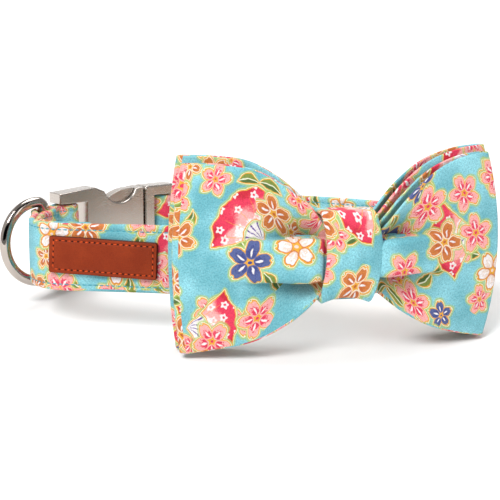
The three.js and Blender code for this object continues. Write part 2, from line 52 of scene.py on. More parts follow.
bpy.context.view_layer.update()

# Sizes of the solids, in millimetres, as the part's source has them.
GAP = 0.3
STRAP_WIDTH = 25.0
STRAP_LAYER = 2.6
LOOP_HALF_LENGTH = 84.0
LOOP_FRONT_DEPTH = 40.0
LOOP_BACK_DEPTH = 56.0
BUCKLE_HEADING = math.radians(39.8)
BUCKLE_LENGTH = 57.6
SOCKET_BAR_CENTRE = 5.6
PLUG_BAR_INSET = 5.4
BAR_WIDTH = 4.2
BAR_THICKNESS = 3.2
RING_WIRE = 4.2

# Names of the maps on the pieces, and the length of a millimetre and of a weld in metres.
CLOTH_MAP = "cloth"
# The fold map holds painted shade: how deep in a fold each point of the cloth lies, which darkens its
# colour.
PAINTED_FOLD_SHADE_MAP = "fold"
MILLIMETRE = 0.001
WELD = 1e-6


class Slot(Enum):
    """The record's material slots."""

    COTTON = "printed_cotton"
    ELASTIC = "elastic_band"
    LEATHER = "patch_leather"
    ALLOY = "satin_alloy"
    NICKEL = "bright_nickel"


class Body(Enum):
    """The bodies that pieces ride on."""

    COLLAR = "collar"
    RING = "ring"


# Places on the collar.


@dataclass(frozen=True)
class Place:
    """A spot on the strap's route: its point, the way along it and the way out of the loop."""

    point: Vector
    tangent: Vector
    out: Vector


class Route:
    """The line between the strap's outer layer and its turned-back tails, in millimetres."""

    ROWS = (
        (-0.958, 0.054), (-0.962, -0.22), (-0.944, -0.51), (-0.858, -0.71), (-0.655, -0.805),
        (-0.452, -0.885), (-0.214, -0.955), (0.095, -1.0), (0.393, -0.965), (0.675, -0.78),
        (0.9, -0.5), (0.975, -0.16), (0.94, 0.07), (0.81, 0.28), (0.605, 0.482), (0.256, 0.75),
        (-0.07, 0.945),
    )  # fmt: skip
    SOCKET_BAR = (-0.876, 0.316)
    FOLD_REACH = BAR_WIDTH / 2 + GAP + STRAP_LAYER
    SPAN_STEPS = 80

    def __init__(self) -> None:
        """Lays the route through its points and measures it."""
        self.heading = Vector((math.cos(BUCKLE_HEADING), math.sin(BUCKLE_HEADING), 0))
        self.socket_bar = self._loop_point(*self.SOCKET_BAR)
        span = BUCKLE_LENGTH - PLUG_BAR_INSET - SOCKET_BAR_CENTRE
        self.plug_bar = self.socket_bar + self.heading * span
        self.ring_bar = self._loop_point(*self.ROWS[0])
        reach = self.heading * self.FOLD_REACH
        knots = [self.socket_bar + reach, self.socket_bar, self.socket_bar - reach]
        knots += [self._loop_point(*row) for row in self.ROWS]
        knots += [self.plug_bar + reach, self.plug_bar, self.plug_bar - reach]
        self._points = np.array([tuple(point) for point in self._samples(knots)])
        self._places = runs(self._points)
        self.length = float(self._places[-1])
        self.socket_place = self.place_of(self.socket_bar)
        self.ring_place = self.place_of(self.ring_bar)
        self.plug_place = self.place_of(self.plug_bar)

    @staticmethod
    def _loop_point(x: float, y: float) -> Vector:
        """Returns the point of one row of shares."""
        depth = LOOP_FRONT_DEPTH if y < 0 else LOOP_BACK_DEPTH
        return Vector((x * LOOP_HALF_LENGTH, y * depth, 0))

    def _samples(self, knots: list[Vector]) -> list[Vector]:
        """Samples a centripetal Catmull-Rom curve.

        Args:
            knots: The points that the curve passes through.

        Returns:
            Closely spaced points on it.
        """
        line = [knots[0] * 2 - knots[1], *knots, knots[-1] * 2 - knots[-2]]
        samples = [knots[0]]
        for before, start, end, after in zip(line, line[1:], line[2:], line[3:]):
            gaps = [math.sqrt((b - a).length) for a, b in ((before, start), (start, end), (end, after))]
            lead = (start - before) / gaps[0] - (end - before) / (gaps[0] + gaps[1])
            lead = (lead + (end - start) / gaps[1]) * gaps[1]
            tail = (end - start) / gaps[1] - (after - start) / (gaps[1] + gaps[2])
            tail = (tail + (after - end) / gaps[2]) * gaps[1]
            for step in range(1, self.SPAN_STEPS + 1):
                t = step / self.SPAN_STEPS
                square = -3 * start + 3 * end - 2 * lead - tail
                cube = 2 * start - 2 * end + lead + tail
                samples.append(start + lead * t + square * t**2 + cube * t**3)
        return samples

    def place_of(self, point: Vector) -> float:
        """Returns the distance along the route of the place nearest to a point."""
        away = np.linalg.norm(self._points - np.array(tuple(point)), axis=1)
        return float(self._places[int(np.argmin(away))])

    def _point_at(self, place: float) -> Vector:
        """Returns the point at a distance along the route."""
        return Vector([float(np.interp(place, self._places, self._points[:, axis])) for axis in range(3)])

    def at(self, place: float) -> Place:
        """Finds a place on the route.

        Args:
            place: Distance along the route.

        Returns:
            Its point and directions.
        """
        reach = 0.4
        ahead = self._point_at(min(place + reach, self.length))
        tangent = (ahead - self._point_at(max(place - reach, 0.0))).normalized()
        return Place(self._point_at(place), tangent, Vector((tangent.y, -tangent.x, 0)))


class Worn:
    """Takes points of the loop, laid flat in millimetres, to where the collar rests, in metres."""

    def __init__(self, route: Route) -> None:
        """Reads the ring's hinge, which stands across the loop at a known point of the route.

        Args:
            route: The strap's route.
        """
        hinge = next(row for row in frame["record"]["behaviour"]["joints"] if row["name"] == "ring_swing")
        up = Vector(hinge["axis"]).normalized()
        turn = Vector((0, 0, 1)).rotation_difference(up).to_matrix().to_4x4()
        stand = Vector(hinge["pos_m"]) - turn @ (route.ring_bar * MILLIMETRE)
        self.matrix = Matrix.Translation(stand) @ turn @ Matrix.Scale(MILLIMETRE, 4)

    def point(self, spot: Vector) -> Vector:
        """Returns a point of the loop as a point of the frame."""
        return self.matrix @ spot

    def points(self, spots: np.ndarray) -> np.ndarray:
        """Returns an array of points of the loop as points of the frame."""
        return moved(spots, self.matrix)


def hump(distance: float, reach: float) -> float:
    """Returns 1 in the middle of a hump, falling smoothly to 0 at its reach."""
    return math.cos(distance / reach * math.pi / 2) ** 2 if abs(distance) < reach else 0.0


def runs(points: np.ndarray) -> np.ndarray:
    """Returns how far along a line each of its points lies."""
    steps = np.linalg.norm(np.diff(points, axis=0), axis=1)
    return np.concatenate([[0.0], np.cumsum(steps)])


def ways_round(ring: np.ndarray) -> np.ndarray:
    """Finds which way a closed line runs at each of its points.

    Args:
        ring: Its points, the last of which is the first again.

    Returns:
        A unit vector for each.
    """
    ways = np.roll(ring[:-1], -1, axis=0) - np.roll(ring[:-1], 1, axis=0)
    ways = np.vstack([ways, ways[:1]])
    return ways / np.linalg.norm(ways, axis=1)[:, None]


def outs_round(ring: np.ndarray) -> np.ndarray:
    """Finds the way out of a flat closed line at each of its points.

    Args:
        ring: Its points, the last of which is the first again.

    Returns:
        A unit vector for each.
    """
    ways = ways_round(ring)
    outs = np.stack([ways[:, 1], -ways[:, 0]], axis=1)
    return -outs if float(np.sum(outs * ring)) < 0 else outs


def wander(along: np.ndarray, reach: float, seed: float) -> np.ndarray:
    """Returns values from about -1 to 1 that drift over a reach along a line."""
    return np.array([noise.noise(Vector((place / reach, seed, 0))) for place in along])


def flat_cloth(
    along: np.ndarray, across: np.ndarray, shift: tuple[float, float] = (0.0, 0.0)
) -> np.ndarray:
    """Finds where the corners of a grid lie on the flat cloth.

    Args:
        along: Their places along the cloth.
        across: Their places across it.
        shift: Where the piece was cut from the print.

    Returns:
        Both places of each corner.
    """
    return np.stack(np.broadcast_arrays(along, across), axis=2) + np.array(shift)


def moved(spots: np.ndarray, matrix: Matrix) -> np.ndarray:
    """Returns an array of points taken through a matrix."""
    way = np.array(matrix)
    return spots @ way[:3, :3].T + way[:3, 3]


# Meshes.


def rounded_plate(size: tuple[float, float], corner: float, segments: int) -> bmesh.types.BMesh:
    """Makes a flat rectangle with rounded corners.

    Args:
        size: Its width and height.
        corner: The radius of its corners.
        segments: The steps round each corner.

    Returns:
        A bmesh of one face.
    """
    mesh = bmesh.new()
    bmesh.ops.create_grid(mesh, x_segments=1, y_segments=1, size=0.5)
    bmesh.ops.scale(mesh, vec=(*size, 1), verts=mesh.verts)
    bmesh.ops.bevel(
        mesh,
        geom=mesh.verts[:],
        offset=corner,
        segments=segments,
        profile=0.5,
        affect="VERTICES",
        material=-1,
    )
    return mesh


def rounded_outline(size: tuple[float, float], corner: float, segments: int) -> np.ndarray:
    """Finds the outline of a flat rectangle with rounded corners.

    Args:
        size: Its width and height.
        corner: The radius of its corners.
        segments: The steps round each corner.

    Returns:
        Its points in order, each once.
    """
    mesh = rounded_plate(size, corner, segments)
    mesh.faces.ensure_lookup_table()
    outline = np.array([tuple(loop.vert.co.xy) for loop in mesh.faces[0].loops])
    mesh.free()
    return outline


class Maker:
    """Turns grids and bmeshes into finished pieces."""

    def __init__(self, worn: Worn) -> None:
        """Keeps the way from the loop to the frame.

        Args:
            worn: The way.
        """
        self.worn = worn

    @staticmethod
    def finish(name: str, mesh: bmesh.types.BMesh, material: bpy.types.Material) -> bpy.types.Object:
        """Makes an object of a bmesh, smooth shaded.

        Args:
            name: The piece's name.
            mesh: Its bmesh, in metres, which is freed.
            material: Its material.

        Returns:
            The object.
        """
        data = bpy.data.meshes.new(name)
        mesh.to_mesh(data)
        mesh.free()
        data.shade_smooth()
        data.materials.append(material)
        piece = bpy.data.objects.new(name, data)
        bpy.context.scene.collection.objects.link(piece)
        return piece

    def woven(
        self,
        name: str,
        spots: np.ndarray,
        cloth: np.ndarray,
        finish: bpy.types.Material,
        folds: np.ndarray | None = None,
    ) -> bpy.types.Object:
        """Bends a grid of cloth into a closed band.

        Args:
            name: The piece's name.
            spots: Where each corner of the grid goes, as columns by rows by three, in millimetres.
            cloth: Where each corner lies on the flat cloth, as columns by rows by two, in millimetres.
            finish: Its material.
            folds: How deep in a fold each corner lies, from 0 to 1, as columns by rows, which sets the shade
                painted on the cloth there.

        Returns:
            The piece.
        """
        columns, rows = spots.shape[0] - 1, spots.shape[1] - 1
        places = self.worn.points(spots)
        folds = np.zeros(spots.shape[:2]) if folds is None else folds
        mesh = bmesh.new()
        layer = mesh.loops.layers.uv.new(CLOTH_MAP)
        # The fold map carries how much shade the cotton paints at each corner.
        painted_shade_layer = mesh.verts.layers.float.new(PAINTED_FOLD_SHADE_MAP)
        bmesh.ops.create_grid(mesh, x_segments=columns, y_segments=rows, size=0.5)
        steps = {
            corner: (round((corner.co.x + 0.5) * columns), round((corner.co.y + 0.5) * rows))
            for corner in mesh.verts
        }
        for face in mesh.faces:
            for loop in face.loops:
                loop[layer].uv = cloth[steps[loop.vert]]
        for corner, step in steps.items():
            corner.co = places[step]
            corner[painted_shade_layer] = float(folds[step])
        bmesh.ops.remove_doubles(mesh, verts=mesh.verts, dist=WELD)
        rim = [edge for edge in mesh.edges if edge.is_boundary]
        if rim:
            bmesh.ops.holes_fill(mesh, edges=rim, sides=0)
        bmesh.ops.recalc_face_normals(mesh, faces=mesh.faces)
        return self.finish(name, mesh, finish)


@dataclass
class Seam:
    """Stitches of one thread, gathered into one piece."""

    maker: Maker
    half_length: float
    radius: float
    batch: int = 40
    places: list[Matrix] = field(default_factory=list)

    def stitch(self, spot: Vector, along: Vector, away: Vector) -> None:
        """Adds one stitch.

        Args:
            spot: Its middle, in millimetres.
            along: The way the thread runs.
            away: The way out of the cloth.
        """
        side = away.cross(along).normalized()
        axes = Matrix((along.normalized(), side, side.cross(-along).normalized())).transposed().to_4x4()
        sizes = Matrix.Diagonal((self.half_length, self.radius, self.radius, 1))
        self.places.append(self.maker.worn.matrix @ Matrix.Translation(spot) @ axes @ sizes)

    def finish(self, name: str, thread: bpy.types.Material) -> bpy.types.Object:
        """Makes the stitches, a batch at a time, which is quicker than all in one bmesh.

        Args:
            name: The piece's name.
            thread: The thread's material.

        Returns:
            The stitches as one piece.
        """
        whole = bmesh.new()
        for start in range(0, len(self.places), self.batch):
            some = bmesh.new()
            for place in self.places[start : start + self.batch]:
                bmesh.ops.create_uvsphere(some, u_segments=6, v_segments=5, radius=1, matrix=place)
            bmesh.ops.recalc_face_normals(some, faces=some.faces)
            data = bpy.data.meshes.new(name)
            some.to_mesh(data)
            some.free()
            whole.from_mesh(data)
            bpy.data.meshes.remove(data)
        return self.maker.finish(name, whole, thread)


# Shader maths.


class Signal:
    """A shader socket whose arithmetic adds Math and Vector Math nodes."""

    def __init__(self, graph: "Graph", socket: bpy.types.NodeSocket) -> None:
        """Wraps a socket.

        Args:
            graph: The material's graph.
            socket: One of its outputs.
        """
        self.graph = graph
        self.socket = socket

    @property
    def many(self) -> bool:
        """Whether the socket carries a vector or a colour."""
        return self.socket.type in {"VECTOR", "RGBA"}

    def _join(self, operation: str, first: object, second: object) -> "Signal":
        """Adds one node for an operation on two values.

        Args:
            operation: The node's operation.
            first: A signal or a number.
            second: A signal or a number.

        Returns:
            The result.
        """
        parts = [part for part in (first, second) if isinstance(part, Signal)]
        if any(part.many for part in parts):
            node = self.graph.node("ShaderNodeVectorMath", {"operation": operation})
            for index, part in enumerate((first, second)):
                value = part if isinstance(part, Signal) or hasattr(part, "__len__") else (part,) * 3
                self.graph.feed(node.inputs[index], value)
        else:
            node = self.graph.node("ShaderNodeMath", {"operation": operation}, {0: first, 1: second})
        return Signal(self.graph, node.outputs[0])

    def __add__(self, other: object) -> "Signal":
        """Returns the sum."""
        return self._join("ADD", self, other)

    def __radd__(self, other: object) -> "Signal":
        """Returns the sum."""
        return self._join("ADD", other, self)

    def __sub__(self, other: object) -> "Signal":
        """Returns the difference."""
        return self._join("SUBTRACT", self, other)

    def __rsub__(self, other: object) -> "Signal":
        """Returns the difference."""
        return self._join("SUBTRACT", other, self)

    def __mul__(self, other: object) -> "Signal":
        """Returns the product."""
        return self._join("MULTIPLY", self, other)

    def __rmul__(self, other: object) -> "Signal":
        """Returns the product."""
        return self._join("MULTIPLY", other, self)

    def __truediv__(self, other: object) -> "Signal":
        """Returns the quotient."""
        return self._join("DIVIDE", self, other)

    def __rtruediv__(self, other: object) -> "Signal":
        """Returns the quotient."""
        return self._join("DIVIDE", other, self)

    def __pow__(self, other: float) -> "Signal":
        """Returns the power."""
        return self._join("POWER", self, other)

    def math(self, operation: str, other: object = 0.0) -> "Signal":
        """Returns the result of any other operation of a Math node."""
        return self._join(operation, self, other)

    def least(self, other: object) -> "Signal":
        """Returns the smaller of two values."""
        return self._join("MINIMUM", self, other)

    def most(self, other: object) -> "Signal":
        """Returns the larger of two values."""
        return self._join("MAXIMUM", self, other)

    def step(self, low: float, high: float) -> "Signal":
        """Steps smoothly from 0 to 1.

        Args:
            low: The value up to which it is 0.
            high: The value from which it is 1.

        Returns:
            The step.
        """
        values = {"Value": self, "From Min": low, "From Max": high}
        node = self.graph.node("ShaderNodeMapRange", {"interpolation_type": "SMOOTHSTEP"}, values)
        return Signal(self.graph, node.outputs[0])

    def part(self, axis: int) -> "Signal":
        """Returns one part of a vector or colour."""
        node = self.graph.node("ShaderNodeSeparateXYZ", {}, {0: self})
        return Signal(self.graph, node.outputs[axis])


Stops = list[tuple[float, tuple[float, float, float]]]


class Graph:
    """One material's nodes."""

    def __init__(self, name: str) -> None:
        """Starts a material with a Principled shader.

        Args:
            name: The material's name.
        """
        self.material = bpy.data.materials.new(name)
        self.material.use_nodes = True
        self.tree = self.material.node_tree
        self.shader = self.tree.nodes["Principled BSDF"]

    def feed(self, socket: bpy.types.NodeSocket, value: object) -> None:
        """Links or sets one socket.

        Args:
            socket: The input.
            value: A signal, a number or the parts of a colour or vector.
        """
        if isinstance(value, Signal):
            self.tree.links.new(value.socket, socket)
        elif socket.type == "RGBA" and len(value) == 3:
            socket.default_value = (*value, 1.0)
        else:
            socket.default_value = value

    def node(
        self, kind: str, settings: dict[str, object], values: dict[object, object] | None = None
    ) -> bpy.types.Node:
        """Adds a node.

        Args:
            kind: The node's type.
            settings: Its own settings, which are set first.
            values: Values or signals of its sockets, by name or number.

        Returns:
            The node.
        """
        node = self.tree.nodes.new(kind)
        for key, value in settings.items():
            if key == "stops":
                self._ramp(node, value)
            else:
                setattr(node, key, value)
        for key, value in (values or {}).items():
            self.feed(node.inputs[key], value)
        return node

    @staticmethod
    def _ramp(node: bpy.types.Node, stops: Stops) -> None:
        """Sets a ramp's stops.

        Args:
            node: The ramp.
            stops: Places and colours.
        """
        elements = node.color_ramp.elements
        while len(elements) < len(stops):
            elements.new(1.0)
        for element, (place, colour) in zip(elements, stops):
            element.position = place
            element.color = (*colour, 1.0)

    def out(self, node: bpy.types.Node, name: object = 0) -> Signal:
        """Returns a node's output."""
        return Signal(self, node.outputs[name])

    def pick(self, value: Signal, stops: Stops) -> Signal:
        """Picks a colour by a value.

        Args:
            value: The signal that picks.
            stops: Places and colours, each of which holds until the next.

        Returns:
            The colour.
        """
        node = self.node("ShaderNodeValToRGB", {"stops": stops}, {0: value})
        node.color_ramp.interpolation = "CONSTANT"
        return self.out(node)

    def paint(self, ground: object, colour: object, mask: object) -> Signal:
        """Lays a colour over a ground.

        Args:
            ground: The colour underneath.
            colour: The colour on top.
            mask: How much of it shows.

        Returns:
            The mixed colour.
        """
        node = self.node("ShaderNodeMix", {"data_type": "RGBA"})
        for index, value in ((0, mask), (6, ground), (7, colour)):
            self.feed(node.inputs[index], value)
        return self.out(node, 2)

    def noise(self, where: Signal, scale: float, detail: float = 2.0, rough: float = 0.5) -> Signal:
        """Adds a cloudy noise.

        Args:
            where: The place that it is read at.
            scale: One over the size of its features.
            detail: How many finer noises are laid over it.
            rough: How strong they are.

        Returns:
            A value about 0.5.
        """
        values = {"Vector": where, "Scale": scale, "Detail": detail, "Roughness": rough}
        return self.out(self.node("ShaderNodeTexNoise", {}, values), "Fac")

    def cells(self, where: Signal, pitch: float, jitter: float) -> bpy.types.Node:
        """Adds flat cells, each round a spot of its own.

        Args:
            where: The place on the cloth.
            pitch: Their size.
            jitter: How far their spots stray from a lattice, from 0 to 1.

        Returns:
            The node.
        """
        settings = {"voronoi_dimensions": "2D", "feature": "F1"}
        values = {"Vector": where, "Scale": 1 / pitch, "Randomness": jitter}
        return self.node("ShaderNodeTexVoronoi", settings, values)

    def bump(
        self, height: Signal, distance: float, strength: float = 1.0, under: Signal | None = None
    ) -> Signal:
        """Raises the surface by a height.

        Args:
            height: The height.
            distance: How many metres a height of 1 stands.
            strength: How much of it shows.
            under: The normal of a coarser relief.

        Returns:
            The normal.
        """
        values = {"Height": height, "Distance": distance, "Strength": strength}
        if under is not None:
            values["Normal"] = under
        return self.out(self.node("ShaderNodeBump", {}, values))

    def place(self) -> Signal:
        """Returns the point on the piece, in metres."""
        return self.out(self.node("ShaderNodeTexCoord", {}), "Object")

    def cloth(self) -> Signal:
        """Returns the place on the flat cloth, in millimetres."""
        return self.out(self.node("ShaderNodeUVMap", {"uv_map": CLOTH_MAP}))

    def fold(self) -> Signal:
        """Returns how deep in a fold of the cloth a point lies, from 0 to 1, which sets the shade painted
        there.
        """
        return self.out(self.node("ShaderNodeAttribute", {"attribute_name": PAINTED_FOLD_SHADE_MAP}), "Fac")

    def close(self, **values: object) -> bpy.types.Material:
        """Feeds the shader's sockets.

        Args:
            values: Signals or numbers by the socket's name, in small letters with low lines.

        Returns:
            The material.
        """
        for name, value in values.items():
            self.feed(self.shader.inputs[name.replace("_", " ").title().replace("Ior", "IOR")], value)
        return self.material


def rgb(code: int) -> tuple[float, float, float]:
    """Returns the linear parts of a colour written as a hexadecimal number."""
    parts = [(code >> shift & 255) / 255 for shift in (16, 8, 0)]
    return tuple(part / 12.92 if part < 0.04045 else ((part + 0.055) / 1.055) ** 2.4 for part in parts)


# Finishes.


@dataclass(frozen=True)
class Scatter:
    """How motifs of one kind are strewn over the cloth, in millimetres and degrees."""

    pitch: float
    turn: float
    shift: tuple[float, float, float]
    jitter: float
    share: float


@dataclass(frozen=True)
class PrintedCotton:
    """Fine cotton printed all over with traditional cherry blossom, fans and leaves on teal."""

    ground: int = 0x69ABB6
    ground_light: int = 0x9CDAE4
    ground_deep: int = 0x3F8B9C
    gold: int = 0xDDA038
    cream: int = 0xF1EBDD
    halo: int = 0xA6BB5C
    leaf: int = 0x77873F
    leaf_deep: int = 0x4E6838
    leaf_light: int = 0xDDE0C6
    pink: int = 0xEAA5A2
    coral: int = 0xD93A56
    deep_red: int = 0xB41E2A
    amber: int = 0xC4753C
    amber_heart: int = 0xB9602F
    amber_rim: int = 0xE9D9C4
    white: int = 0xE6E0E0
    white_heart: int = 0xDFC9BC
    violet: int = 0x5E3A92
    blue: int = 0x525E90
    blue_heart: int = 0x3F4880
    kinds: tuple[float, ...] = (0, 0.48, 0.78, 0.93)
    thread_pitch: float = 0.42
    # How far the cotton's colour is darkened deep in a fold: painted shade.
    painted_fold_shade: float = 0.62
    petal_middle: float = 0.57
    petal_half_length: float = 0.44
    petal_half_width: float = 0.31
    leaf_length: float = 3.9
    leaf_width: float = 1.75
    leaf_bend: float = 0.07
    fan_radius: float = 18.0
    fan_spread: float = 0.9
    fan_ribs: int = 9
    fan_pivot: float = 9.5
    bud_pitch: float = 5.4
    bud_radius: float = 1.75
    blossoms: tuple[tuple[Scatter, float], ...] = (
        (Scatter(14.0, 24, (3.1, 7.7, 0), 0.32, 0.5), 5.4),
        (Scatter(17.5, -17, (11.3, 2.9, 0), 0.42, 0.74), 7.2),
    )
    fans: Scatter = Scatter(41, 8, (18.0, 29.0, 0), 0.25, 0.95)
    leaves: Scatter = Scatter(17, -31, (5.2, 1.3, 0), 0.45, 0.55)

    def _cells(self, graph: Graph, cloth: Signal, scatter: Scatter) -> tuple[Signal, Signal, Signal, Signal]:
        """Finds the nearest motif.

        Args:
            graph: The material.
            cloth: The place on the cloth.
            scatter: How the motifs lie.

        Returns:
            Distance from its middle, angle about it, and two random values of the motif.
        """
        values = {"Vector": cloth, "Location": scatter.shift, "Rotation": (0, 0, math.radians(scatter.turn))}
        turned = graph.out(graph.node("ShaderNodeMapping", {}, values))
        spots = graph.cells(turned, scatter.pitch, scatter.jitter)
        away = turned - graph.out(spots, "Position")
        x, y = away.part(0), away.part(1)
        chance = graph.out(spots, "Color")
        reach = (x * x + y * y).math("SQRT")
        angle = y.math("ARCTAN2", x) + chance.part(0) * (2 * math.pi)
        return reach, angle, chance.part(1), chance.part(2)

    def _outline(
        self, graph: Graph, print_: Signal, fill: Signal, inside: Signal, there: Signal
    ) -> Signal:
        """Lays a motif with its gold line, its pale edge and its halo over the print.

        Args:
            graph: The material.
            print_: The print so far.
            fill: The motif's own colours.
            inside: Millimetres inside its edge, negative outside.
            there: 1 where the motif is drawn.

        Returns:
            The print with the motif.
        """
        halo = inside.step(-1.35, -0.55) * there * 0.8
        print_ = graph.paint(print_, rgb(self.halo), halo)
        print_ = graph.paint(print_, rgb(self.cream), inside.step(-0.5, -0.32) * there * 0.8)
        print_ = graph.paint(print_, rgb(self.gold), inside.step(-0.3, -0.18) * there)
        return graph.paint(print_, fill, inside.step(0.08, 0.22) * there)

    def _blossom(
        self, graph: Graph, cloth: Signal, grain: Signal, print_: Signal, scatter: Scatter, size: float
    ) -> Signal:
        """Strews notched five-petalled blossoms.

        Args:
            graph: The material.
            cloth: The place on the cloth.
            grain: A fine speckle.
            print_: The print so far.
            scatter: How they lie.
            size: Their radius.

        Returns:
            The print with them.
        """
        reach, angle, pick, chance = self._cells(graph, cloth, scatter)
        radius = chance * (0.2 * size) + 0.9 * size
        petal = angle.math("PINGPONG", math.pi / 5)
        x, y = reach * petal.math("COSINE") / radius, reach * petal.math("SINE") / radius
        length = (x - self.petal_middle) / self.petal_half_length
        round_ = (length**2.0 + (y / self.petal_half_width) ** 2.0).math("SQRT")
        inside = (1 - round_) * radius * 0.33
        notch = (((x - 1.03) * (x - 1.03) + y * y).math("SQRT") - 0.1) * radius
        inside = inside.least(notch).most((0.1 - reach / radius) * radius)
        there = pick.math("LESS_THAN", scatter.share)
        kind = pick / scatter.share
        tips = (self.pink, self.amber, self.white, self.blue)
        hearts = (self.coral, self.amber_heart, self.white_heart, self.blue_heart)
        rims = (self.pink, self.amber_rim, self.amber, self.blue)
        tip, heart, rim = (
            graph.pick(kind, list(zip(self.kinds, map(rgb, colours)))) for colours in (tips, hearts, rims)
        )
        ragged = x + (grain - 0.5) * 1.3 + y * 0.9
        fill = graph.paint(tip, heart, 1 - ragged.step(0.62, 0.72))
        fill = graph.paint(fill, rim, 1 - inside.step(0.3, 0.55))
        streak = (1 - (y + (x - 0.44).math("ABSOLUTE") * 0.16).step(0.035, 0.075)) * x.step(0.2, 0.3)
        fill = graph.paint(fill, rgb(self.white), streak * (1 - x.step(0.56, 0.66)))
        fill = graph.paint(fill, heart, 1 - x.step(0.07, 0.12))
        return self._outline(graph, print_, fill, inside, there)

    def _leaf(self, graph: Graph, cloth: Signal, print_: Signal) -> Signal:
        """Strews pairs of leaves.

        Args:
            graph: The material.
            cloth: The place on the cloth.
            print_: The print so far.

        Returns:
            The print with them.
        """
        reach, angle, pick, _ = self._cells(graph, cloth, self.leaves)
        along = (reach * angle.math("COSINE")).math("ABSOLUTE") - self.leaf_length
        across = reach * angle.math("SINE") - along * along * self.leaf_bend
        inside = (1 - (along / self.leaf_length) ** 2.0) * self.leaf_width - across.math("ABSOLUTE")
        there = pick.math("LESS_THAN", self.leaves.share)
        fill = graph.paint(rgb(self.leaf), rgb(self.leaf_deep), across.step(0.05, 0.5))
        fill = graph.paint(fill, rgb(self.leaf_light), 1 - across.math("ABSOLUTE").step(0.1, 0.28))
        return self._outline(graph, print_, fill, inside, there)

    def _fan(self, graph: Graph, cloth: Signal, grain: Signal, print_: Signal) -> Signal:
        """Strews folding fans of red and pink paper.

        Args:
            graph: The material.
            cloth: The place on the cloth.
            grain: A fine speckle.
            print_: The print so far.

        Returns:
            The print with them.
        """
        away, angle, pick, _ = self._cells(graph, cloth, self.fans)
        radius, spread = self.fan_radius, self.fan_spread
        along, across = away * angle.math("COSINE") + self.fan_pivot, away * angle.math("SINE")
        reach = (along * along + across * across).math("SQRT")
        centred = across.math("ARCTAN2", along)
        aside = centred.math("ABSOLUTE")
        rib = (centred * (self.fan_ribs / 2 / spread) + 0.5).math("PINGPONG", 1.0)
        edge = radius - reach + rib * 0.9 - 0.4
        inside = edge.least((spread - aside) * reach).least(reach - 7.4)
        sticks = (7.8 - reach).least((spread * 0.9 - aside) * reach + 0.3)
        there = pick.math("LESS_THAN", self.fans.share)
        wash = graph.noise(cloth, 0.13, 1.0)
        ragged = reach / radius + (grain - 0.5) * 0.22 + (wash - 0.5) * 0.9
        fill = graph.paint(rgb(self.pink), rgb(self.coral), ragged.step(0.6, 0.78))
        fill = graph.paint(fill, rgb(self.deep_red), ragged.step(0.9, 1.08) * 0.7)
        fill = graph.paint(fill, rgb(self.white), 1 - ragged.step(0.34, 0.44))
        fill = graph.paint(fill, rgb(self.white), self._buds(graph, cloth) * 0.92)
        line = 1 - rib.step(0.02, 0.09)
        fill = graph.paint(fill, rgb(self.gold), line * (1 - (reach / radius).step(0.5, 0.95)) * 0.8)
        gaps = (1 - rib.step(0.2, 0.34)) * grain.step(0.36, 0.46)
        slats = graph.paint(rgb(self.white), rgb(self.violet), gaps)
        print_ = self._outline(graph, print_, slats, sticks, there)
        return self._outline(graph, print_, fill, inside, there)

    def _buds(self, graph: Graph, cloth: Signal) -> Signal:
        """Strews the small open flowers of the fans' paper.

        Args:
            graph: The material.
            cloth: The place on the cloth.

        Returns:
            1 on a petal.
        """
        bud = cloth - graph.out(graph.cells(cloth, self.bud_pitch, 0.55), "Position")
        x, y = bud.part(0), bud.part(1)
        reach = (x * x + y * y).math("SQRT")
        petal = y.math("ARCTAN2", x).math("PINGPONG", math.pi / 5)
        return (self.bud_radius - reach - petal * 1.1).step(0.0, 0.25) * reach.step(0.35, 0.6)

    def _ground(self, graph: Graph, cloth: Signal, grain: Signal) -> Signal:
        """Paints the teal ground with its cloudy light and fine speckle.

        Args:
            graph: The material.
            cloth: The place on the cloth.
            grain: A fine speckle.

        Returns:
            The ground.
        """
        clouds = graph.noise(cloth, 0.045, 3.0).step(0.36, 0.66)
        ground = graph.paint(rgb(self.ground), rgb(self.ground_light), clouds * 0.8)
        return graph.paint(ground, rgb(self.ground_deep), (1 - grain.step(0.34, 0.56)) * 0.5)

    def make(self) -> bpy.types.Material:
        """Makes the material.

        Returns:
            The material.
        """
        graph = Graph("printed cotton")
        cloth = graph.cloth()
        grain = graph.noise(cloth, 1.6, 2.0, 0.75)
        values = {"Vector": cloth, "Scale": 0.3, "Detail": 1.0}
        sway = graph.out(graph.node("ShaderNodeTexNoise", {}, values), "Color")
        drawn = cloth + (sway - 0.5) * 1.5
        print_ = self._ground(graph, cloth, grain)
        print_ = self._leaf(graph, drawn, print_)
        (small, small_size), (large, large_size) = self.blossoms
        print_ = self._blossom(graph, drawn, grain, print_, small, small_size)
        print_ = self._fan(graph, drawn, grain, print_)
        print_ = self._blossom(graph, drawn, grain, print_, large, large_size)
        turn = 2 * math.pi / self.thread_pitch
        warp = (cloth.part(0) * turn).math("SINE")
        weft = (cloth.part(1) * turn).math("SINE")
        weave = warp * weft
        slub = graph.noise(cloth, 1.8, 2.0, 0.7)
        # The cloth's tone: the slub speckle varies it at random, the weave's dips are a little darker as
        # painted shade, and the shade of the folds is painted in from the fold map.
        shade = (weave * 0.035 + (slub - 0.5) * 0.95 + 0.96) * (1 - graph.fold() * self.painted_fold_shade)
        colour = graph.node("ShaderNodeVectorMath", {"operation": "SCALE"}, {0: print_, "Scale": shade})
        fine = graph.bump(weave * 0.5 + slub, 0.00012, 0.5)
        soft = graph.bump(graph.noise(cloth, 0.35, 3.0), 0.0006, 0.35, fine)
        roughness = slub * 0.12 + 0.76
        graph.shader.inputs["Sheen Weight"].default_value = 0.12
        graph.shader.inputs["Sheen Roughness"].default_value = 0.4
        graph.shader.inputs["Specular IOR Level"].default_value = 0.25
        return graph.close(base_color=graph.out(colour), roughness=roughness, normal=soft)


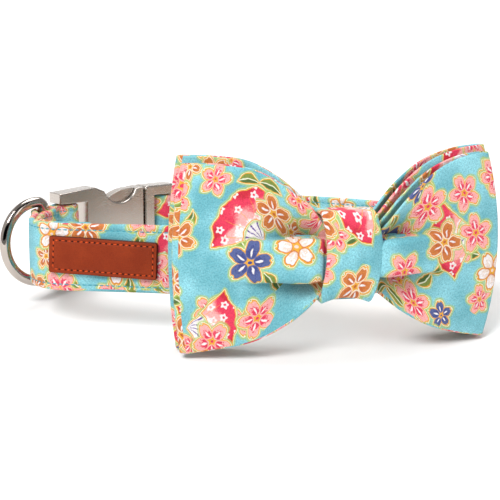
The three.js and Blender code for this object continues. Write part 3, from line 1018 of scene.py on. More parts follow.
@dataclass(frozen=True)
class RibbedElastic:
    """Teal elastic with close ribs across its width."""

    colour: int = 0x3F93A3
    # The darker colour, laid in the rib valleys as painted shade and at random by the fuzz.
    shade: int = 0x2C6F7E
    rib: float = 0.9

    def make(self) -> bpy.types.Material:
        """Makes the material.

        Returns:
            The material.
        """
        graph = Graph("ribbed elastic")
        cloth = graph.cloth()
        ribs = (cloth.part(1) * (2 * math.pi / self.rib)).math("SINE")
        fuzz = graph.noise(cloth, 2.0, 3.0)
        # The rib valleys are darkened as painted shade; the fuzz varies the tone at random.
        deep = (ribs * -0.5 + 0.5) * 0.5 + (fuzz - 0.5) * 0.4
        colour = graph.paint(rgb(self.colour), rgb(self.shade), deep)
        relief = graph.bump(ribs + fuzz, 0.0002)
        return graph.close(base_color=colour, roughness=fuzz * 0.1 + 0.8, normal=relief)


@dataclass(frozen=True)
class Thread:
    """Sewing thread with its twist."""

    name: str
    colour: int
    shade: int

    def make(self) -> bpy.types.Material:
        """Makes the material.

        Returns:
            The material.
        """
        graph = Graph(self.name)
        twist = graph.noise(graph.place(), 2600, 2.0)
        colour = graph.paint(rgb(self.shade), rgb(self.colour), twist.step(0.3, 0.6))
        relief = graph.bump(twist, 0.00008)
        graph.shader.inputs["Specular IOR Level"].default_value = 0.12
        return graph.close(base_color=colour, roughness=twist * 0.2 + 0.5, normal=relief)


@dataclass(frozen=True)
class Leather:
    """Smooth russet leather with fine pores, darker at its cut edge."""

    colour: int = 0x812B0C
    warm: int = 0x923613
    edge: int = 0x4A1A0C

    def make(self) -> bpy.types.Material:
        """Makes the material.

        Returns:
            The material.
        """
        graph = Graph("patch leather")
        place, cloth = graph.place(), graph.cloth()
        clouds = graph.noise(place, 90, 3.0)
        pores = graph.node(
            "ShaderNodeTexVoronoi",
            {"feature": "DISTANCE_TO_EDGE"},
            {"Vector": place, "Scale": 1700, "Randomness": 1.0},
        )
        creases = graph.out(pores, "Distance").step(0.0, 0.22)
        fibres = graph.noise(place, 2400, 2.0)
        colour = graph.paint(rgb(self.colour), rgb(self.warm), clouds.step(0.3, 0.75))
        colour = graph.paint(colour, rgb(self.edge), (1 - creases) * 0.22 + (fibres - 0.5) * 0.12)
        colour = graph.paint(colour, rgb(self.edge), 1 - cloth.part(0).step(0.15, 0.5))
        relief = graph.bump(creases + fibres * 0.3, 0.00006, 0.6)
        graph.shader.inputs["Specular IOR Level"].default_value = 0.14
        return graph.close(base_color=colour, roughness=clouds * 0.14 + fibres * 0.1 + 0.36, normal=relief)


@dataclass(frozen=True)
class BrushedMetal:
    """Metal with a fine grain and a cloudy polish."""

    name: str
    colour: int
    roughness: float
    grain: float
    polish: tuple[float, float, float] = (0.86, 0.84, 0.82)

    def make(self) -> bpy.types.Material:
        """Makes the material.

        Returns:
            The material.
        """
        graph = Graph(self.name)
        place = graph.place()
        values = {"Vector": place, "Scale": (260, 260, 5200)}
        long_grain = graph.out(graph.node("ShaderNodeMapping", {}, values))
        brushed = graph.noise(long_grain, 1.0, 3.0, 0.6)
        clouds = graph.noise(place, 75, 2.0)
        light = (clouds - 0.4) * 0.25 + (brushed - 0.5) * 0.06
        colour = graph.paint(rgb(self.colour), self.polish, light)
        roughness = (brushed - 0.5) * self.grain + (clouds - 0.5) * 0.12 + self.roughness
        relief = graph.bump(brushed, 0.000012, self.grain)
        return graph.close(base_color=colour, metallic=1.0, roughness=roughness, normal=relief)


@dataclass(frozen=True)
class PaleFloor:
    """A matt, nearly white floor, lit from beneath where it is far from the collar."""

    lit_from: float = 0.5
    lit_to: float = 1.3

    def make(self) -> bpy.types.Material:
        """Makes the material.

        Returns:
            The material.
        """
        graph = Graph("pale floor")
        place = graph.place()
        mottle = graph.noise(place, 40, 2.0)
        colour = graph.paint((0.9, 0.9, 0.9), (0.93, 0.93, 0.93), mottle)
        away = (place.part(0) ** 2.0 + place.part(1) ** 2.0).math("SQRT")
        glow = graph.paint((0.0, 0.0, 0.0), (0.85, 0.85, 0.85), away.step(self.lit_from, self.lit_to))
        graph.shader.inputs["Emission Strength"].default_value = 1.0
        return graph.close(base_color=colour, roughness=mottle * 0.05 + 0.9, emission_color=glow)


class Finishes:
    """Every material, made once."""

    def __init__(self) -> None:
        """Makes the materials."""
        self.cotton = PrintedCotton().make()
        self.elastic = RibbedElastic().make()
        self.leather = Leather().make()
        self.teal_thread = Thread("teal thread", 0x55A9B9, 0x2F7E90).make()
        self.rust_thread = Thread("rust thread", 0xDA5424, 0xA83814).make()
        # The needle holes are dark blobs sunk in the leather: painted shade inside each hole.
        self.painted_hole_shade = Thread("needle hole", 0x2E0B04, 0x1A0502).make()
        self.alloy = BrushedMetal("satin alloy", 0xC3BAB2, 0.25, 0.14).make()
        self.nickel = BrushedMetal("bright nickel", 0xB6ACA4, 0.09, 0.03).make()
        self.floor = PaleFloor().make()


# Sub-assemblies.


@dataclass
class Strap:
    """The long band of cloth, folded round the buckle's two bars and parted round the ring's."""

    maker: Maker
    route: Route
    step: float = 0.75
    front_tail: float = 66.0
    back_tail: float = 24.0
    tunnel_reach: float = 7.5
    edge_round: float = 1.15
    seam_height: float = 10.1
    seam_depth: float = 0.26
    stitch_pitch: float = 2.2
    print_shift: tuple[float, float] = (17.0, 9.0)
    sway: tuple[np.ndarray, np.ndarray] = field(init=False)

    @property
    def half_layer(self) -> float:
        """Half of one layer's thickness."""
        return STRAP_LAYER / 2

    @property
    def half_flat(self) -> float:
        """Half the strap's width between its rounded edges."""
        return STRAP_WIDTH / 2 - self.edge_round

    def parted(self, place: float) -> float:
        """Finds how far each layer stands off the route.

        Args:
            place: Distance along the route.

        Returns:
            The distance, more where a bar passes between the layers.
        """
        bar = BAR_THICKNESS / 2 + GAP
        ends = hump(place - self.route.socket_place, self.tunnel_reach)
        ends += hump(place - self.route.plug_place, self.tunnel_reach)
        return bar * ends + (RING_WIRE / 2 + GAP) * hump(place - self.route.ring_place, self.tunnel_reach)

    def _layer(self, places: np.ndarray, side: int) -> list[Vector]:
        """Finds the middle of one layer of the cloth.

        Args:
            places: Distances along the route.
            side: 1 for the layer away from the neck, -1 for the tails.

        Returns:
            Its points.
        """
        spots = []
        for place in map(float, places):
            here = self.route.at(place)
            spots.append(here.point + here.out * (side * (self.half_layer + self.parted(place))))
        return spots

    def _centres(self) -> list[Vector]:
        """Follows the middle of the cloth.

        Returns:
            Its points from the tip of one tail to the tip of the other.
        """
        route, step = self.route, self.step
        start, end = route.socket_place, route.plug_place
        return [
            *self._layer(np.arange(start + self.front_tail, start, -step), -1),
            *self._fold(route.socket_bar, route.heading, route.at(start).out, 1),
            *self._layer(np.arange(start + step, end, step), 1),
            *self._fold(route.plug_bar, -route.heading, route.at(end).out, -1),
            *self._layer(np.arange(end - step, end - self.back_tail, -step), -1),
        ]

    def _fold(self, bar: Vector, ahead: Vector, out: Vector, turn: int) -> list[Vector]:
        """Takes the cloth round a bar.

        Args:
            bar: The bar's middle.
            ahead: The way from the loop over the bar.
            out: The way out of the loop.
            turn: 1 from the inside to the outside, -1 from the outside to the inside.

        Returns:
            The middle of the cloth round it.
        """
        reach = Route.FOLD_REACH - self.half_layer
        stand = self.half_layer + BAR_THICKNESS / 2 + GAP
        angles = np.linspace(-math.pi / 2, math.pi / 2, 15) * turn
        return [bar + ahead * (reach * math.cos(turn)) + out * (stand * math.sin(turn)) for turn in angles]

    def _face(self, height: float) -> float:
        """Finds how far a face stands from the middle of the cloth.

        Args:
            height: Millimetres above the strap's middle.

        Returns:
            The distance, less along the seams.
        """
        groove = self.seam_depth * math.exp(-(((abs(height) - self.seam_height) / 0.34) ** 2))
        crown = 0.12 * (1 - (height / self.half_flat) ** 2)
        return self.half_layer - 0.1 - groove + crown

    def _section(self) -> np.ndarray:
        """Draws the cloth's section.

        Returns:
            Its points as out and up, from one edge round to the same edge.
        """
        flat, seam = self.half_flat, self.seam_height
        rises = [-flat, -seam - 0.5, -seam, -seam + 0.5, -seam + 1.5, -6.2, -3.1]
        heights = rises + [0.0] + [-rise for rise in reversed(rises)]
        turns = [math.pi * step / 8 for step in range(1, 8)]
        face, edge = self._face(flat), self.edge_round
        front = [(self._face(height), height) for height in heights]
        rim = [(face * math.cos(turn), flat + edge * math.sin(turn)) for turn in turns]
        back = [(-self._face(height), height) for height in reversed(heights)]
        foot = [(-out, -height) for out, height in rim]
        return np.array([*front, *rim, *back, *foot, front[0]])

    def build(self, finish: bpy.types.Material) -> bpy.types.Object:
        """Makes the strap.

        Args:
            finish: The printed cotton.

        Returns:
            The strap.
        """
        centres = np.array([tuple(point) for point in self._centres()])
        ways = np.gradient(centres, axis=0)
        ways /= np.linalg.norm(ways, axis=1)[:, None]
        outs = np.stack([ways[:, 1], -ways[:, 0], np.zeros(len(ways))], axis=1)
        section = self._section()
        along, round_ = runs(centres), runs(section)
        from_tip = np.minimum(along, along[-1] - along)
        thin = np.sqrt(1 - (1 - np.clip(from_tip / 1.6, 0, 1)) ** 2) * 0.9 + 0.1
        pucker = 1 + 0.3 * np.cos(2 * math.pi * along / self.stitch_pitch)
        near_seam = np.exp(-(((np.abs(section[:, 1]) - self.seam_height) / 0.7) ** 2))
        depth = section[None, :, 0] * thin[:, None]
        depth = depth - np.sign(section[None, :, 0]) * 0.09 * pucker[:, None] * near_seam[None, :]
        ripple = wander(along, 16, 3.7) * 0.1
        sway = wander(along, 30, 9.1) * 0.22
        spots = centres[:, None, :] + outs[:, None, :] * (depth + ripple[:, None])[:, :, None]
        edge = np.abs(section[:, 1]) > self.half_flat - 0.1
        spots[:, :, 2] = section[None, :, 1] + sway[:, None] + 0.05 * (pucker[:, None] - 1) * edge[None, :]
        self.sway = (along, sway)
        cloth = flat_cloth(along[:, None], round_[None, :], self.print_shift)
        return self.maker.woven("strap_cloth", spots, cloth, finish)

    def surface(self, place: float, outer: bool) -> tuple[Vector, Vector, Vector]:
        """Finds the strap's surface.

        Args:
            place: Distance along the route.
            outer: Whether it is the face away from the neck.

        Returns:
            The point at mid height, the way along and the way out of the cloth.
        """
        here = self.route.at(place)
        start, end = self.route.socket_place + self.front_tail, self.route.plug_place - self.back_tail
        tail = place < start or place > end
        if outer:
            return here.point + here.out * (STRAP_LAYER + self.parted(place)), here.tangent, here.out
        depth = STRAP_LAYER + self.parted(place) if tail else 0.0
        return here.point - here.out * depth, here.tangent, -here.out

    def sew(self, thread: bpy.types.Material, bow_place: float) -> bpy.types.Object:
        """Sews the two rows along the strap and the rows across it.

        Args:
            thread: The thread's material.
            bow_place: Where the bow's keeper covers the strap.

        Returns:
            The stitches.
        """
        seam = Seam(self.maker, half_length=0.9, radius=0.24)
        start, end = self.route.socket_place + 2.5, self.route.plug_place - 2.5
        up = Vector((0, 0, 1))
        for outer in (True, False):
            for place in np.arange(start, end, self.stitch_pitch):
                if abs(place - bow_place) < 6.5:
                    continue
                spot, along, away = self.surface(float(place), outer)
                for side in (-1, 1):
                    height = up * (side * self.seam_height + float(np.interp(place, *self.sway)))
                    seam.stitch(spot + height - away * 0.3, along, away)
        crossings = [self.route.ring_place - 8.3, self.route.ring_place + 8.3]
        crossings += [self.route.socket_place + 7.5, self.route.plug_place - 7.5]
        for place in crossings:
            for outer in (True, False):
                spot, _, away = self.surface(place, outer)
                for height in np.arange(-9.0, 9.1, self.stitch_pitch):
                    seam.stitch(spot + up * float(height) - away * 0.06, up, away)
        return seam.finish("strap_stitches", thread)


@dataclass
class Patch:
    """The leather patch, a little turned on the strap, with its saddle stitches."""

    maker: Maker
    route: Route
    length: float = 39.5
    height: float = 13.6
    thickness: float = 1.75
    corner: float = 0.85
    edge: float = 0.42
    tilt: float = math.radians(2.3)
    lift: float = 0.5
    inset: float = 1.5
    stitch_pitch: float = 2.12
    stitch_slant: float = 0.14
    slices: tuple[tuple[float, float], ...] = ((19.2, 0.6), (6.3, 0.35))
    middle: float = field(init=False)

    def __post_init__(self) -> None:
        """Finds the patch's middle on the strap."""
        self.middle = self.route.place_of(Vector((-LOOP_HALF_LENGTH * 0.62, -LOOP_FRONT_DEPTH * 0.82, 0)))

    def on_strap(self, along: float, height: float, depth: float) -> tuple[Vector, Place]:
        """Takes a point of the flat patch to the strap.

        Args:
            along: Millimetres along the patch from its middle.
            height: Millimetres up it.
            depth: Millimetres off the strap.

        Returns:
            The point and the place of the strap behind it.
        """
        place = self.route.at(self.middle + along * math.cos(self.tilt) + height * math.sin(self.tilt))
        up = self.lift - along * math.sin(self.tilt) + height * math.cos(self.tilt)
        spot = place.point + place.out * (STRAP_LAYER + 0.06 + depth)
        return Vector((spot.x, spot.y, up)), place

    def _puff(self, along: float, height: float) -> float:
        """Finds how far the leather's face stands from flat.

        Args:
            along: Millimetres along the patch from its middle.
            height: Millimetres up it.

        Returns:
            The distance, less along the stitches.
        """
        inward = min(self.length / 2 - abs(along), self.height / 2 - abs(height))
        groove = 0.2 * math.exp(-(((inward - self.inset) / 0.42) ** 2))
        return 0.16 * (1 - math.exp(-max(inward - self.inset, 0) / 1.6)) - groove

    def build(self, finish: bpy.types.Material) -> bpy.types.Object:
        """Makes the leather.

        Args:
            finish: The leather.

        Returns:
            The patch.
        """
        mesh = rounded_plate((self.length, self.height), self.corner, 5)
        layer = mesh.loops.layers.uv.new(CLOTH_MAP)
        top = bmesh.ops.extrude_face_region(mesh, geom=mesh.faces[:])["geom"]
        raised = [item for item in top if isinstance(item, bmesh.types.BMVert)]
        bmesh.ops.translate(mesh, vec=(0, 0, self.thickness), verts=raised)
        bmesh.ops.recalc_face_normals(mesh, faces=mesh.faces)
        sharp = [edge for edge in mesh.edges if edge.calc_face_angle(0) > 1.2]
        rims = [edge for edge in sharp if abs(edge.verts[0].co.z - edge.verts[1].co.z) < WELD]
        bmesh.ops.bevel(
            mesh,
            geom=rims,
            offset=self.edge,
            segments=3,
            profile=0.5,
            affect="EDGES",
            material=-1,
            clamp_overlap=True,
        )
        for way, (reach, pitch) in zip((Vector((1, 0, 0)), Vector((0, 1, 0))), self.slices):
            for place in np.arange(-reach, reach + 0.1, pitch):
                geometry = mesh.verts[:] + mesh.edges[:] + mesh.faces[:]
                spot = way * float(place)
                bmesh.ops.bisect_plane(mesh, geom=geometry, plane_co=spot, plane_no=way, dist=1e-5)
        for face in mesh.faces:
            flat = abs(face.normal.z) > 0.75
            for loop in face.loops:
                loop[layer].uv = (1.0 if flat else 0.0, 0.0)
        for corner in mesh.verts:
            along, height, depth = corner.co
            if depth > self.thickness - 1e-4:
                depth += self._puff(along, height)
            corner.co = self.maker.worn.point(self.on_strap(along, height, depth)[0])
        return self.maker.finish("patch_leather", mesh, finish)

    def _row(self) -> list[tuple[float, float, float]]:
        """Places the stitches of the rectangle.

        Returns:
            Each one as along, height and direction.
        """
        half_x, half_y = self.length / 2 - self.inset, self.height / 2 - self.inset
        row = []
        count_x, count_y = round(2 * half_x / self.stitch_pitch), round(2 * half_y / self.stitch_pitch)
        for step in range(count_x):
            along = -half_x + (step + 0.5) * 2 * half_x / count_x
            row += [(along, half_y, 0.0), (along, -half_y, 0.0)]
        for step in range(count_y):
            height = -half_y + (step + 0.5) * 2 * half_y / count_y
            row += [(half_x, height, math.pi / 2), (-half_x, height, math.pi / 2)]
        return row

    def sew(self, thread: bpy.types.Material, hole: bpy.types.Material) -> list[bpy.types.Object]:
        """Sews the patch's edge.

        Args:
            thread: The thread's material.
            hole: The needle holes' material, a dark colour that paints the shade inside each hole.

        Returns:
            The stitches and the dark blobs of painted shade at the needle holes.
        """
        stitches = Seam(self.maker, half_length=0.72, radius=0.24)
        # Each needle hole gets a dark blob sunk in the leather, painted shade inside the hole.
        holes = Seam(self.maker, half_length=0.5, radius=0.42)
        stand, sink, apart = self.thickness - 0.16, self.thickness - 0.36, self.stitch_pitch / 2
        for along, height, turn in self._row():
            slant = turn + self.stitch_slant
            spot, place = self.on_strap(along, height, stand)
            ahead = (along + math.cos(slant) * 0.1, height + math.sin(slant) * 0.1)
            thread_way = self.on_strap(*ahead, stand)[0] - spot
            stitches.stitch(spot, thread_way, place.out)
            between = (along + math.cos(turn) * apart, height + math.sin(turn) * apart)
            hole_spot, hole_place = self.on_strap(*between, sink)
            holes.stitch(hole_spot, thread_way, hole_place.out)
        return [stitches.finish("patch_stitches", thread), holes.finish("patch_hole_shade", hole)]


class Profile:
    """Values between the rows of a table of shares, on a smooth curve."""

    ALONG = (0.0, 0.1, 0.22, 0.45, 0.73, 1.0)

    def __init__(self, *values: float) -> None:
        """Keeps one column of the table."""
        self.values = values

    def at(self, along: float) -> float:
        """Reads the curve, which runs through the rows as a Catmull-Rom spline does.

        Args:
            along: A share along the bow.

        Returns:
            The value there.
        """
        places, values = self.ALONG, self.values
        if along >= places[-1]:
            return values[-1]
        end = next(index for index, place in enumerate(places) if place > along)
        start = end - 1
        low, high = places[start], places[end]
        before = (values[start - 1], places[start - 1]) if start > 0 else (values[end], high)
        after = (values[end + 1], places[end + 1]) if end + 1 < len(places) else (values[start], low)
        weight_before = (high - low) / 2 / (low - before[1])
        weight_after = (high - low) / 2 / (after[1] - high)
        t = (along - low) / (high - low)
        square, cube = t * t, t * t * t
        lead = (1 + weight_before) * cube - (1.5 + 2 * weight_before) * square
        lead += (weight_before - 0.5) * t + 1
        tail = -(1 + weight_after) * cube + (1.5 + weight_after) * square + 0.5 * t
        return (
            weight_before * (2 * square - cube - t) * before[0]
            + lead * values[start]
            + tail * values[end]
            + weight_after * (cube - square) * after[0]
        )


@dataclass(frozen=True)
class Wing:
    """What differs between the left and right halves of the bows, in millimetres."""

    length: float
    tuck: float
    bulge_below: float
    bulge_above: float
    crest_below: float
    crest_above: float
    stagger: float
    rise: Profile


@dataclass(frozen=True)
class Station:
    """One upright line of a bow's band, seen from above."""

    along: float
    side: int
    shade: float
    x: float
    y: float
    face: int


@dataclass
class BowShape:
    """What the two bows share, in the bow's own millimetres: X along it, its front at -Y."""

    knot_width: float = 20.0
    knot_height: float = 32.6
    knot_wall: float = 1.8
    loft: float = 5.4
    separation: float = 9.0
    fold_depth: float = 1.46
    crest_depth: float = 5.4
    wall: float = 1.1
    cad_wall: float = 1.6
    bend: float = math.radians(12)
    roll: float = math.radians(1.3)
    sag: float = 1.9
    lift: float = 6.0
    top_trim: float = 1.8
    crease_width: float = 2.6
    crease_lip: float = 1.25
    pocket: float = 1.35
    pocket_rise: float = 1.65
    keeper_wall: float = 0.9
    keeper_clearance: float = 0.3
    keeper_stand: float = 1.8
    spread: Profile = Profile(0.41, 0.55, 0.72, 0.95, 0.85, 0.6)
    part_left: Profile = Profile(0.49, 0.66, 0.74, 0.84, 0.88, 0.92)
    part_right: Profile = Profile(0.49, 0.66, 0.76, 0.86, 0.8, 0.64)
    left: Wing = Wing(
        length=59.0,
        tuck=10.3,
        bulge_below=2.4,
        bulge_above=3.3,
        crest_below=9.0,
        crest_above=5.0,
        stagger=0.5,
        rise=Profile(0, 0.25, 0.5, 0.81, 0.94, 1),
    )
    right: Wing = Wing(
        length=55.1,
        tuck=8.0,
        bulge_below=4.7,
        bulge_above=4.7,
        crest_below=8.4,
        crest_above=4.6,
        stagger=2.3,
        rise=Profile(0, 0.19, 0.42, 0.73, 0.92, 1),
    )

    @property
    def inner_half_height(self) -> float:
        """Half height inside the knot."""
        return self.knot_height / 2 - self.knot_wall

    @property
    def inner_half_depth(self) -> float:
        """Half depth inside the knot."""
        stack = self.part_left.at(0) * self.separation + self.spread.at(0) * self.loft + self.cad_wall
        return stack / 2 + self.fold_depth + GAP

    def wing(self, side: int) -> Wing:
        """Returns the half on one side."""
        return self.left if side < 0 else self.right

    def depth(self, along: float) -> float:
        """Finds how far the crest stands before the bow's middle.

        Args:
            along: A share along the bow.

        Returns:
            The distance.
        """
        grown = (self.crest_depth - self.fold_depth) * (1 - math.exp(-along / 0.045))
        return (self.fold_depth + grown) * math.exp(-((along / 0.36) ** 2))

    def crest(self, x: float) -> tuple[float, float]:
        """Finds how far the crest reaches from the bow's middle height.

        Args:
            x: Distance along the bow.

        Returns:
            Its reach below and above.
        """
        share = min(max(x / self.knot_width + 0.5, 0.0), 1.0)
        below = self.left.crest_below + (self.right.crest_below - self.left.crest_below) * share
        return below, self.left.crest_above + (self.right.crest_above - self.left.crest_above) * share

    def place_on(self, route: Route) -> float:
        """Returns the distance along the route at which the bow sits."""
        return route.place_of(Vector((LOOP_HALF_LENGTH * 0.39, -LOOP_FRONT_DEPTH, 0)))

    def frame_on(self, route: Route) -> Matrix:
        """Stands the bow before the strap.

        Args:
            route: The strap's route.

        Returns:
            The way from the bow's own millimetres to the loop's.
        """
        here = route.at(self.place_on(route))
        stand = STRAP_LAYER + self.keeper_stand + GAP + self.knot_wall
        spot = here.point + here.out * (stand + self.inner_half_depth)
        turn = math.atan2(here.tangent.y, here.tangent.x)
        return Matrix.Translation((spot.x, spot.y, self.lift)) @ Matrix.Rotation(turn, 4, "Z")


@dataclass
class Bow:
    """One of the two bows: a closed band of cloth, gathered under the knot."""

    MARK_ROWS = (0, 17, 30, 34, 38, 51, 66)
    MIDDLE_ROW = 34

    maker: Maker
    shape: BowShape
    matrix: Matrix
    name: str
    rear: bool
    height: float
    overhang: float
    outer_fold: float
    inner_fold: float
    rise: float
    seed: float
    print_shift: tuple[float, float]
    panel_steps: int = 64
    hem_steps: int = 5
    hem_step: float = 0.3

    def _plan(self, along: float, side: int) -> tuple[float, float]:
        """Finds the point midway between the band's two faces, seen from above.

        Args:
            along: A share along the bow from the knot's edge, negative under the knot.
            side: -1 for the left half, 1 for the right.

        Returns:
            The point.
        """
        shape, free = self.shape, max(along, 0.0)
        part = (shape.part_left if side < 0 else shape.part_right).at(free) * shape.separation
        tuck = shape.wing(side).tuck
        reach = shape.wing(side).length + self.overhang - tuck
        x = (along + 1) * tuck if along < 0 else tuck + along * reach
        bent = max(x - tuck, 0) * math.tan(shape.bend)
        pinch = shape.part_left.at(0) * shape.separation / 2
        return side * x, bent - pinch + (part if self.rear else 0)

    def _stations(self) -> list[Station]:
        """Sets the band's upright lines out.

        Returns:
            The stations in order, from the left end along the front and back again.
        """
        shape = self.shape
        under = [(-1 + step / 6, 1) for step in range(6)]
        free = [((step / self.panel_steps) ** 1.15, 1) for step in range(self.panel_steps + 1)]
        half = under + free
        width = [(along, -1) for along, _ in reversed(half[1:])] + half
        stations = []
        for face, fold, steps in ((-1, self.outer_fold, width), (1, self.inner_fold, width[::-1])):
            for along, side in steps:
                x, y = self._plan(along, side)
                reach = max(along, 0.0)
                away = shape.spread.at(reach) * shape.loft / 2
                shade = 1 + (fold - 1) * min(reach / Profile.ALONG[1], 1)
                stations.append(Station(reach, side, shade, x, y + face * away, face))
            x, y = self._plan(1.0, -face)
            radius = shape.spread.at(1.0) * shape.loft / 2
            for turn in (math.pi * step / 8 for step in range(1, 8)):
                out, across = -face * radius * math.sin(turn), face * radius * math.cos(turn)
                stations.append(Station(1.0, -face, 0.0, x + out, y + across, 0))
        return stations + stations[:1]

    def _heights(self, station: Station) -> np.ndarray:
        """Spaces a station's points over its height, close together where the cloth creases.

        Args:
            station: The upright line.

        Returns:
            Heights above the band's middle, from its lower edge to its upper one.
        """
        shape = self.shape
        tucked = shape.inner_half_height - GAP - math.sin(shape.roll) * shape.knot_width / 2
        full, hem = self.height / 2, shape.wall / 2
        rise = shape.wing(station.side).rise.at(station.along)
        low = tucked + rise * (full - tucked) - hem
        high = tucked - shape.top_trim + rise * (full - tucked + shape.top_trim) - hem
        below, above = shape.crest(station.x)
        band = shape.crease_width
        marks = (-low, -below - band, -below + band, 0, above - band, above + band, high)
        return np.interp(np.arange(self.MARK_ROWS[-1] + 1), self.MARK_ROWS, marks)

    def _gathers(self, heights: np.ndarray, x: float) -> tuple[np.ndarray, np.ndarray]:
        """Finds the gathers across the band: a crest along its middle, with a crease under each lip.

        Args:
            heights: Heights above the band's middle.
            x: Distance along the bow.

        Returns:
            How far forward each height stands, from -1 to 1, and how far its lip hangs over, from -1 to 1.
        """
        forward, lip = np.ones_like(heights), np.zeros_like(heights)
        shape = self.shape
        for sign, edge, half in zip((-1, 1), shape.crest(x), (-heights[0], heights[-1])):
            past = sign * heights - edge
            turn = np.clip(past / shape.crease_width + 0.5, 0, 1)
            drop = turn * turn * (3 - 2 * turn)
            back = -shape.pocket + shape.pocket_rise * np.clip(past / (half - edge), 0, 1) ** 1.2
            here = sign * heights > 0
            forward = np.where(here, 1 - drop + drop * back, forward)
            lip += np.where(here, sign * np.sin(2 * math.pi * turn), 0)
        return forward, lip

    def _middle(self, station: Station) -> np.ndarray:
        """Finds the middle of the cloth on one upright line.

        Args:
            station: The upright line.

        Returns:
            Its points from the lower edge to the upper one, each with how deep in a fold it lies.
        """
        shape, wing = self.shape, self.shape.wing(station.side)
        heights = self._heights(station)
        shares = np.where(heights < 0, heights / -heights[0], heights / heights[-1])
        forward, lip = self._gathers(heights, station.x)
        depth = shape.depth(station.along) * station.shade
        held = min(depth / shape.crest_depth, 1)
        bulge = np.where(shares < 0, wing.bulge_below, wing.bulge_above)
        bulge = -station.side * bulge * shares**2 * station.along**4
        free = math.sin(math.pi * min(max(station.along, 0.0), 1.0)) ** 0.8
        crown = 1.1 * free * (1 - shares**2) * (1.0 if station.face < 0 else -0.2)
        spot = (station.x / 15 + self.seed, station.face * 3.0)
        wrinkle = np.array([noise.noise(Vector((spot[0], share * 2.1, spot[1]))) for share in shares])
        layer = (0 if station.face > 0 else 1) + (0 if self.rear else 2)
        drop = wing.stagger * layer * math.exp(-((station.along / 0.42) ** 2)) * np.clip(shares, 0, 1)
        points = np.zeros((len(heights), 4))
        points[:, 0] = station.x + bulge
        points[:, 1] = station.y - forward * depth - crown + wrinkle * 0.8 * free
        points[:, 2] = heights - shape.sag * station.along**2 + math.sin(shape.roll) * points[:, 0]
        points[:, 2] += self.rise * wing.rise.at(station.along) - drop
        points[:, 2] += lip * shape.crease_lip * held
        # How deep in a pocket each point lies, from 0 to 1: the amount of shade painted on the cloth there.
        points[:, 3] = np.clip(-forward / shape.pocket, 0, 1) ** 1.5 * held
        return points

    def build(self, finish: bpy.types.Material) -> bpy.types.Object:
        """Makes the band.

        Args:
            finish: The printed cotton.

        Returns:
            The bow.
        """
        stations = self._stations()
        lines = np.array([self._middle(station) for station in stations])
        middle, folds = lines[:, :, :3], lines[:, :, 3]
        ring = np.concatenate([middle[-2:-1], middle, middle[1:2]])
        along = ring[2:] - ring[:-2]
        up = np.gradient(middle, axis=1)
        outs = np.cross(along, up)
        outs /= np.linalg.norm(outs, axis=2)[:, :, None]
        ups = up / np.linalg.norm(up, axis=2)[:, :, None]
        half, hem = self.shape.wall / 2, self.hem_steps
        top, foot = [], []
        for turn in (math.pi * step / (hem + 1) for step in range(1, hem + 1)):
            out, up_ = half * math.cos(turn), half * math.sin(turn)
            top.append(middle[:, -1] + outs[:, -1] * out + ups[:, -1] * up_)
            foot.append(middle[:, 0] - outs[:, 0] * out - ups[:, 0] * up_)
        outer, inner = middle + outs * half, (middle - outs * half)[:, ::-1]
        spots = np.concatenate([outer, np.stack(top, 1), inner, np.stack(foot, 1), outer[:, :1]], axis=1)
        # The painted fold shade runs on round the hems and the inner face.
        top_folds, foot_folds = np.repeat(folds[:, -1:], hem, axis=1), np.repeat(folds[:, :1], hem, axis=1)
        folds = np.concatenate([folds, top_folds, folds[:, ::-1], foot_folds, folds[:, :1]], axis=1)
        along_cloth = runs(middle[:, self.MIDDLE_ROW, :2])
        climbs = np.linalg.norm(np.diff(middle, axis=1), axis=2)
        climb = np.concatenate([np.zeros((len(stations), 1)), np.cumsum(climbs, axis=1)], axis=1)
        climb -= climb[:, [self.MIDDLE_ROW]]
        edge = np.arange(1, hem + 1) * self.hem_step
        back = climb[:, -1:] + edge[-1] + self.hem_step + (climb[:, -1:] - climb[:, ::-1])
        under = back[:, -1:] + edge
        round_ = [climb, climb[:, -1:] + edge, back, under, under[:, -1:] + self.hem_step]
        cloth = flat_cloth(along_cloth[:, None], np.concatenate(round_, axis=1), self.print_shift)
        piece = self.maker.woven(self.name, moved(spots, self.matrix), cloth, finish, folds)
        flat = (self.height * MILLIMETRE, float(along_cloth[-1]) * MILLIMETRE)
        return piece


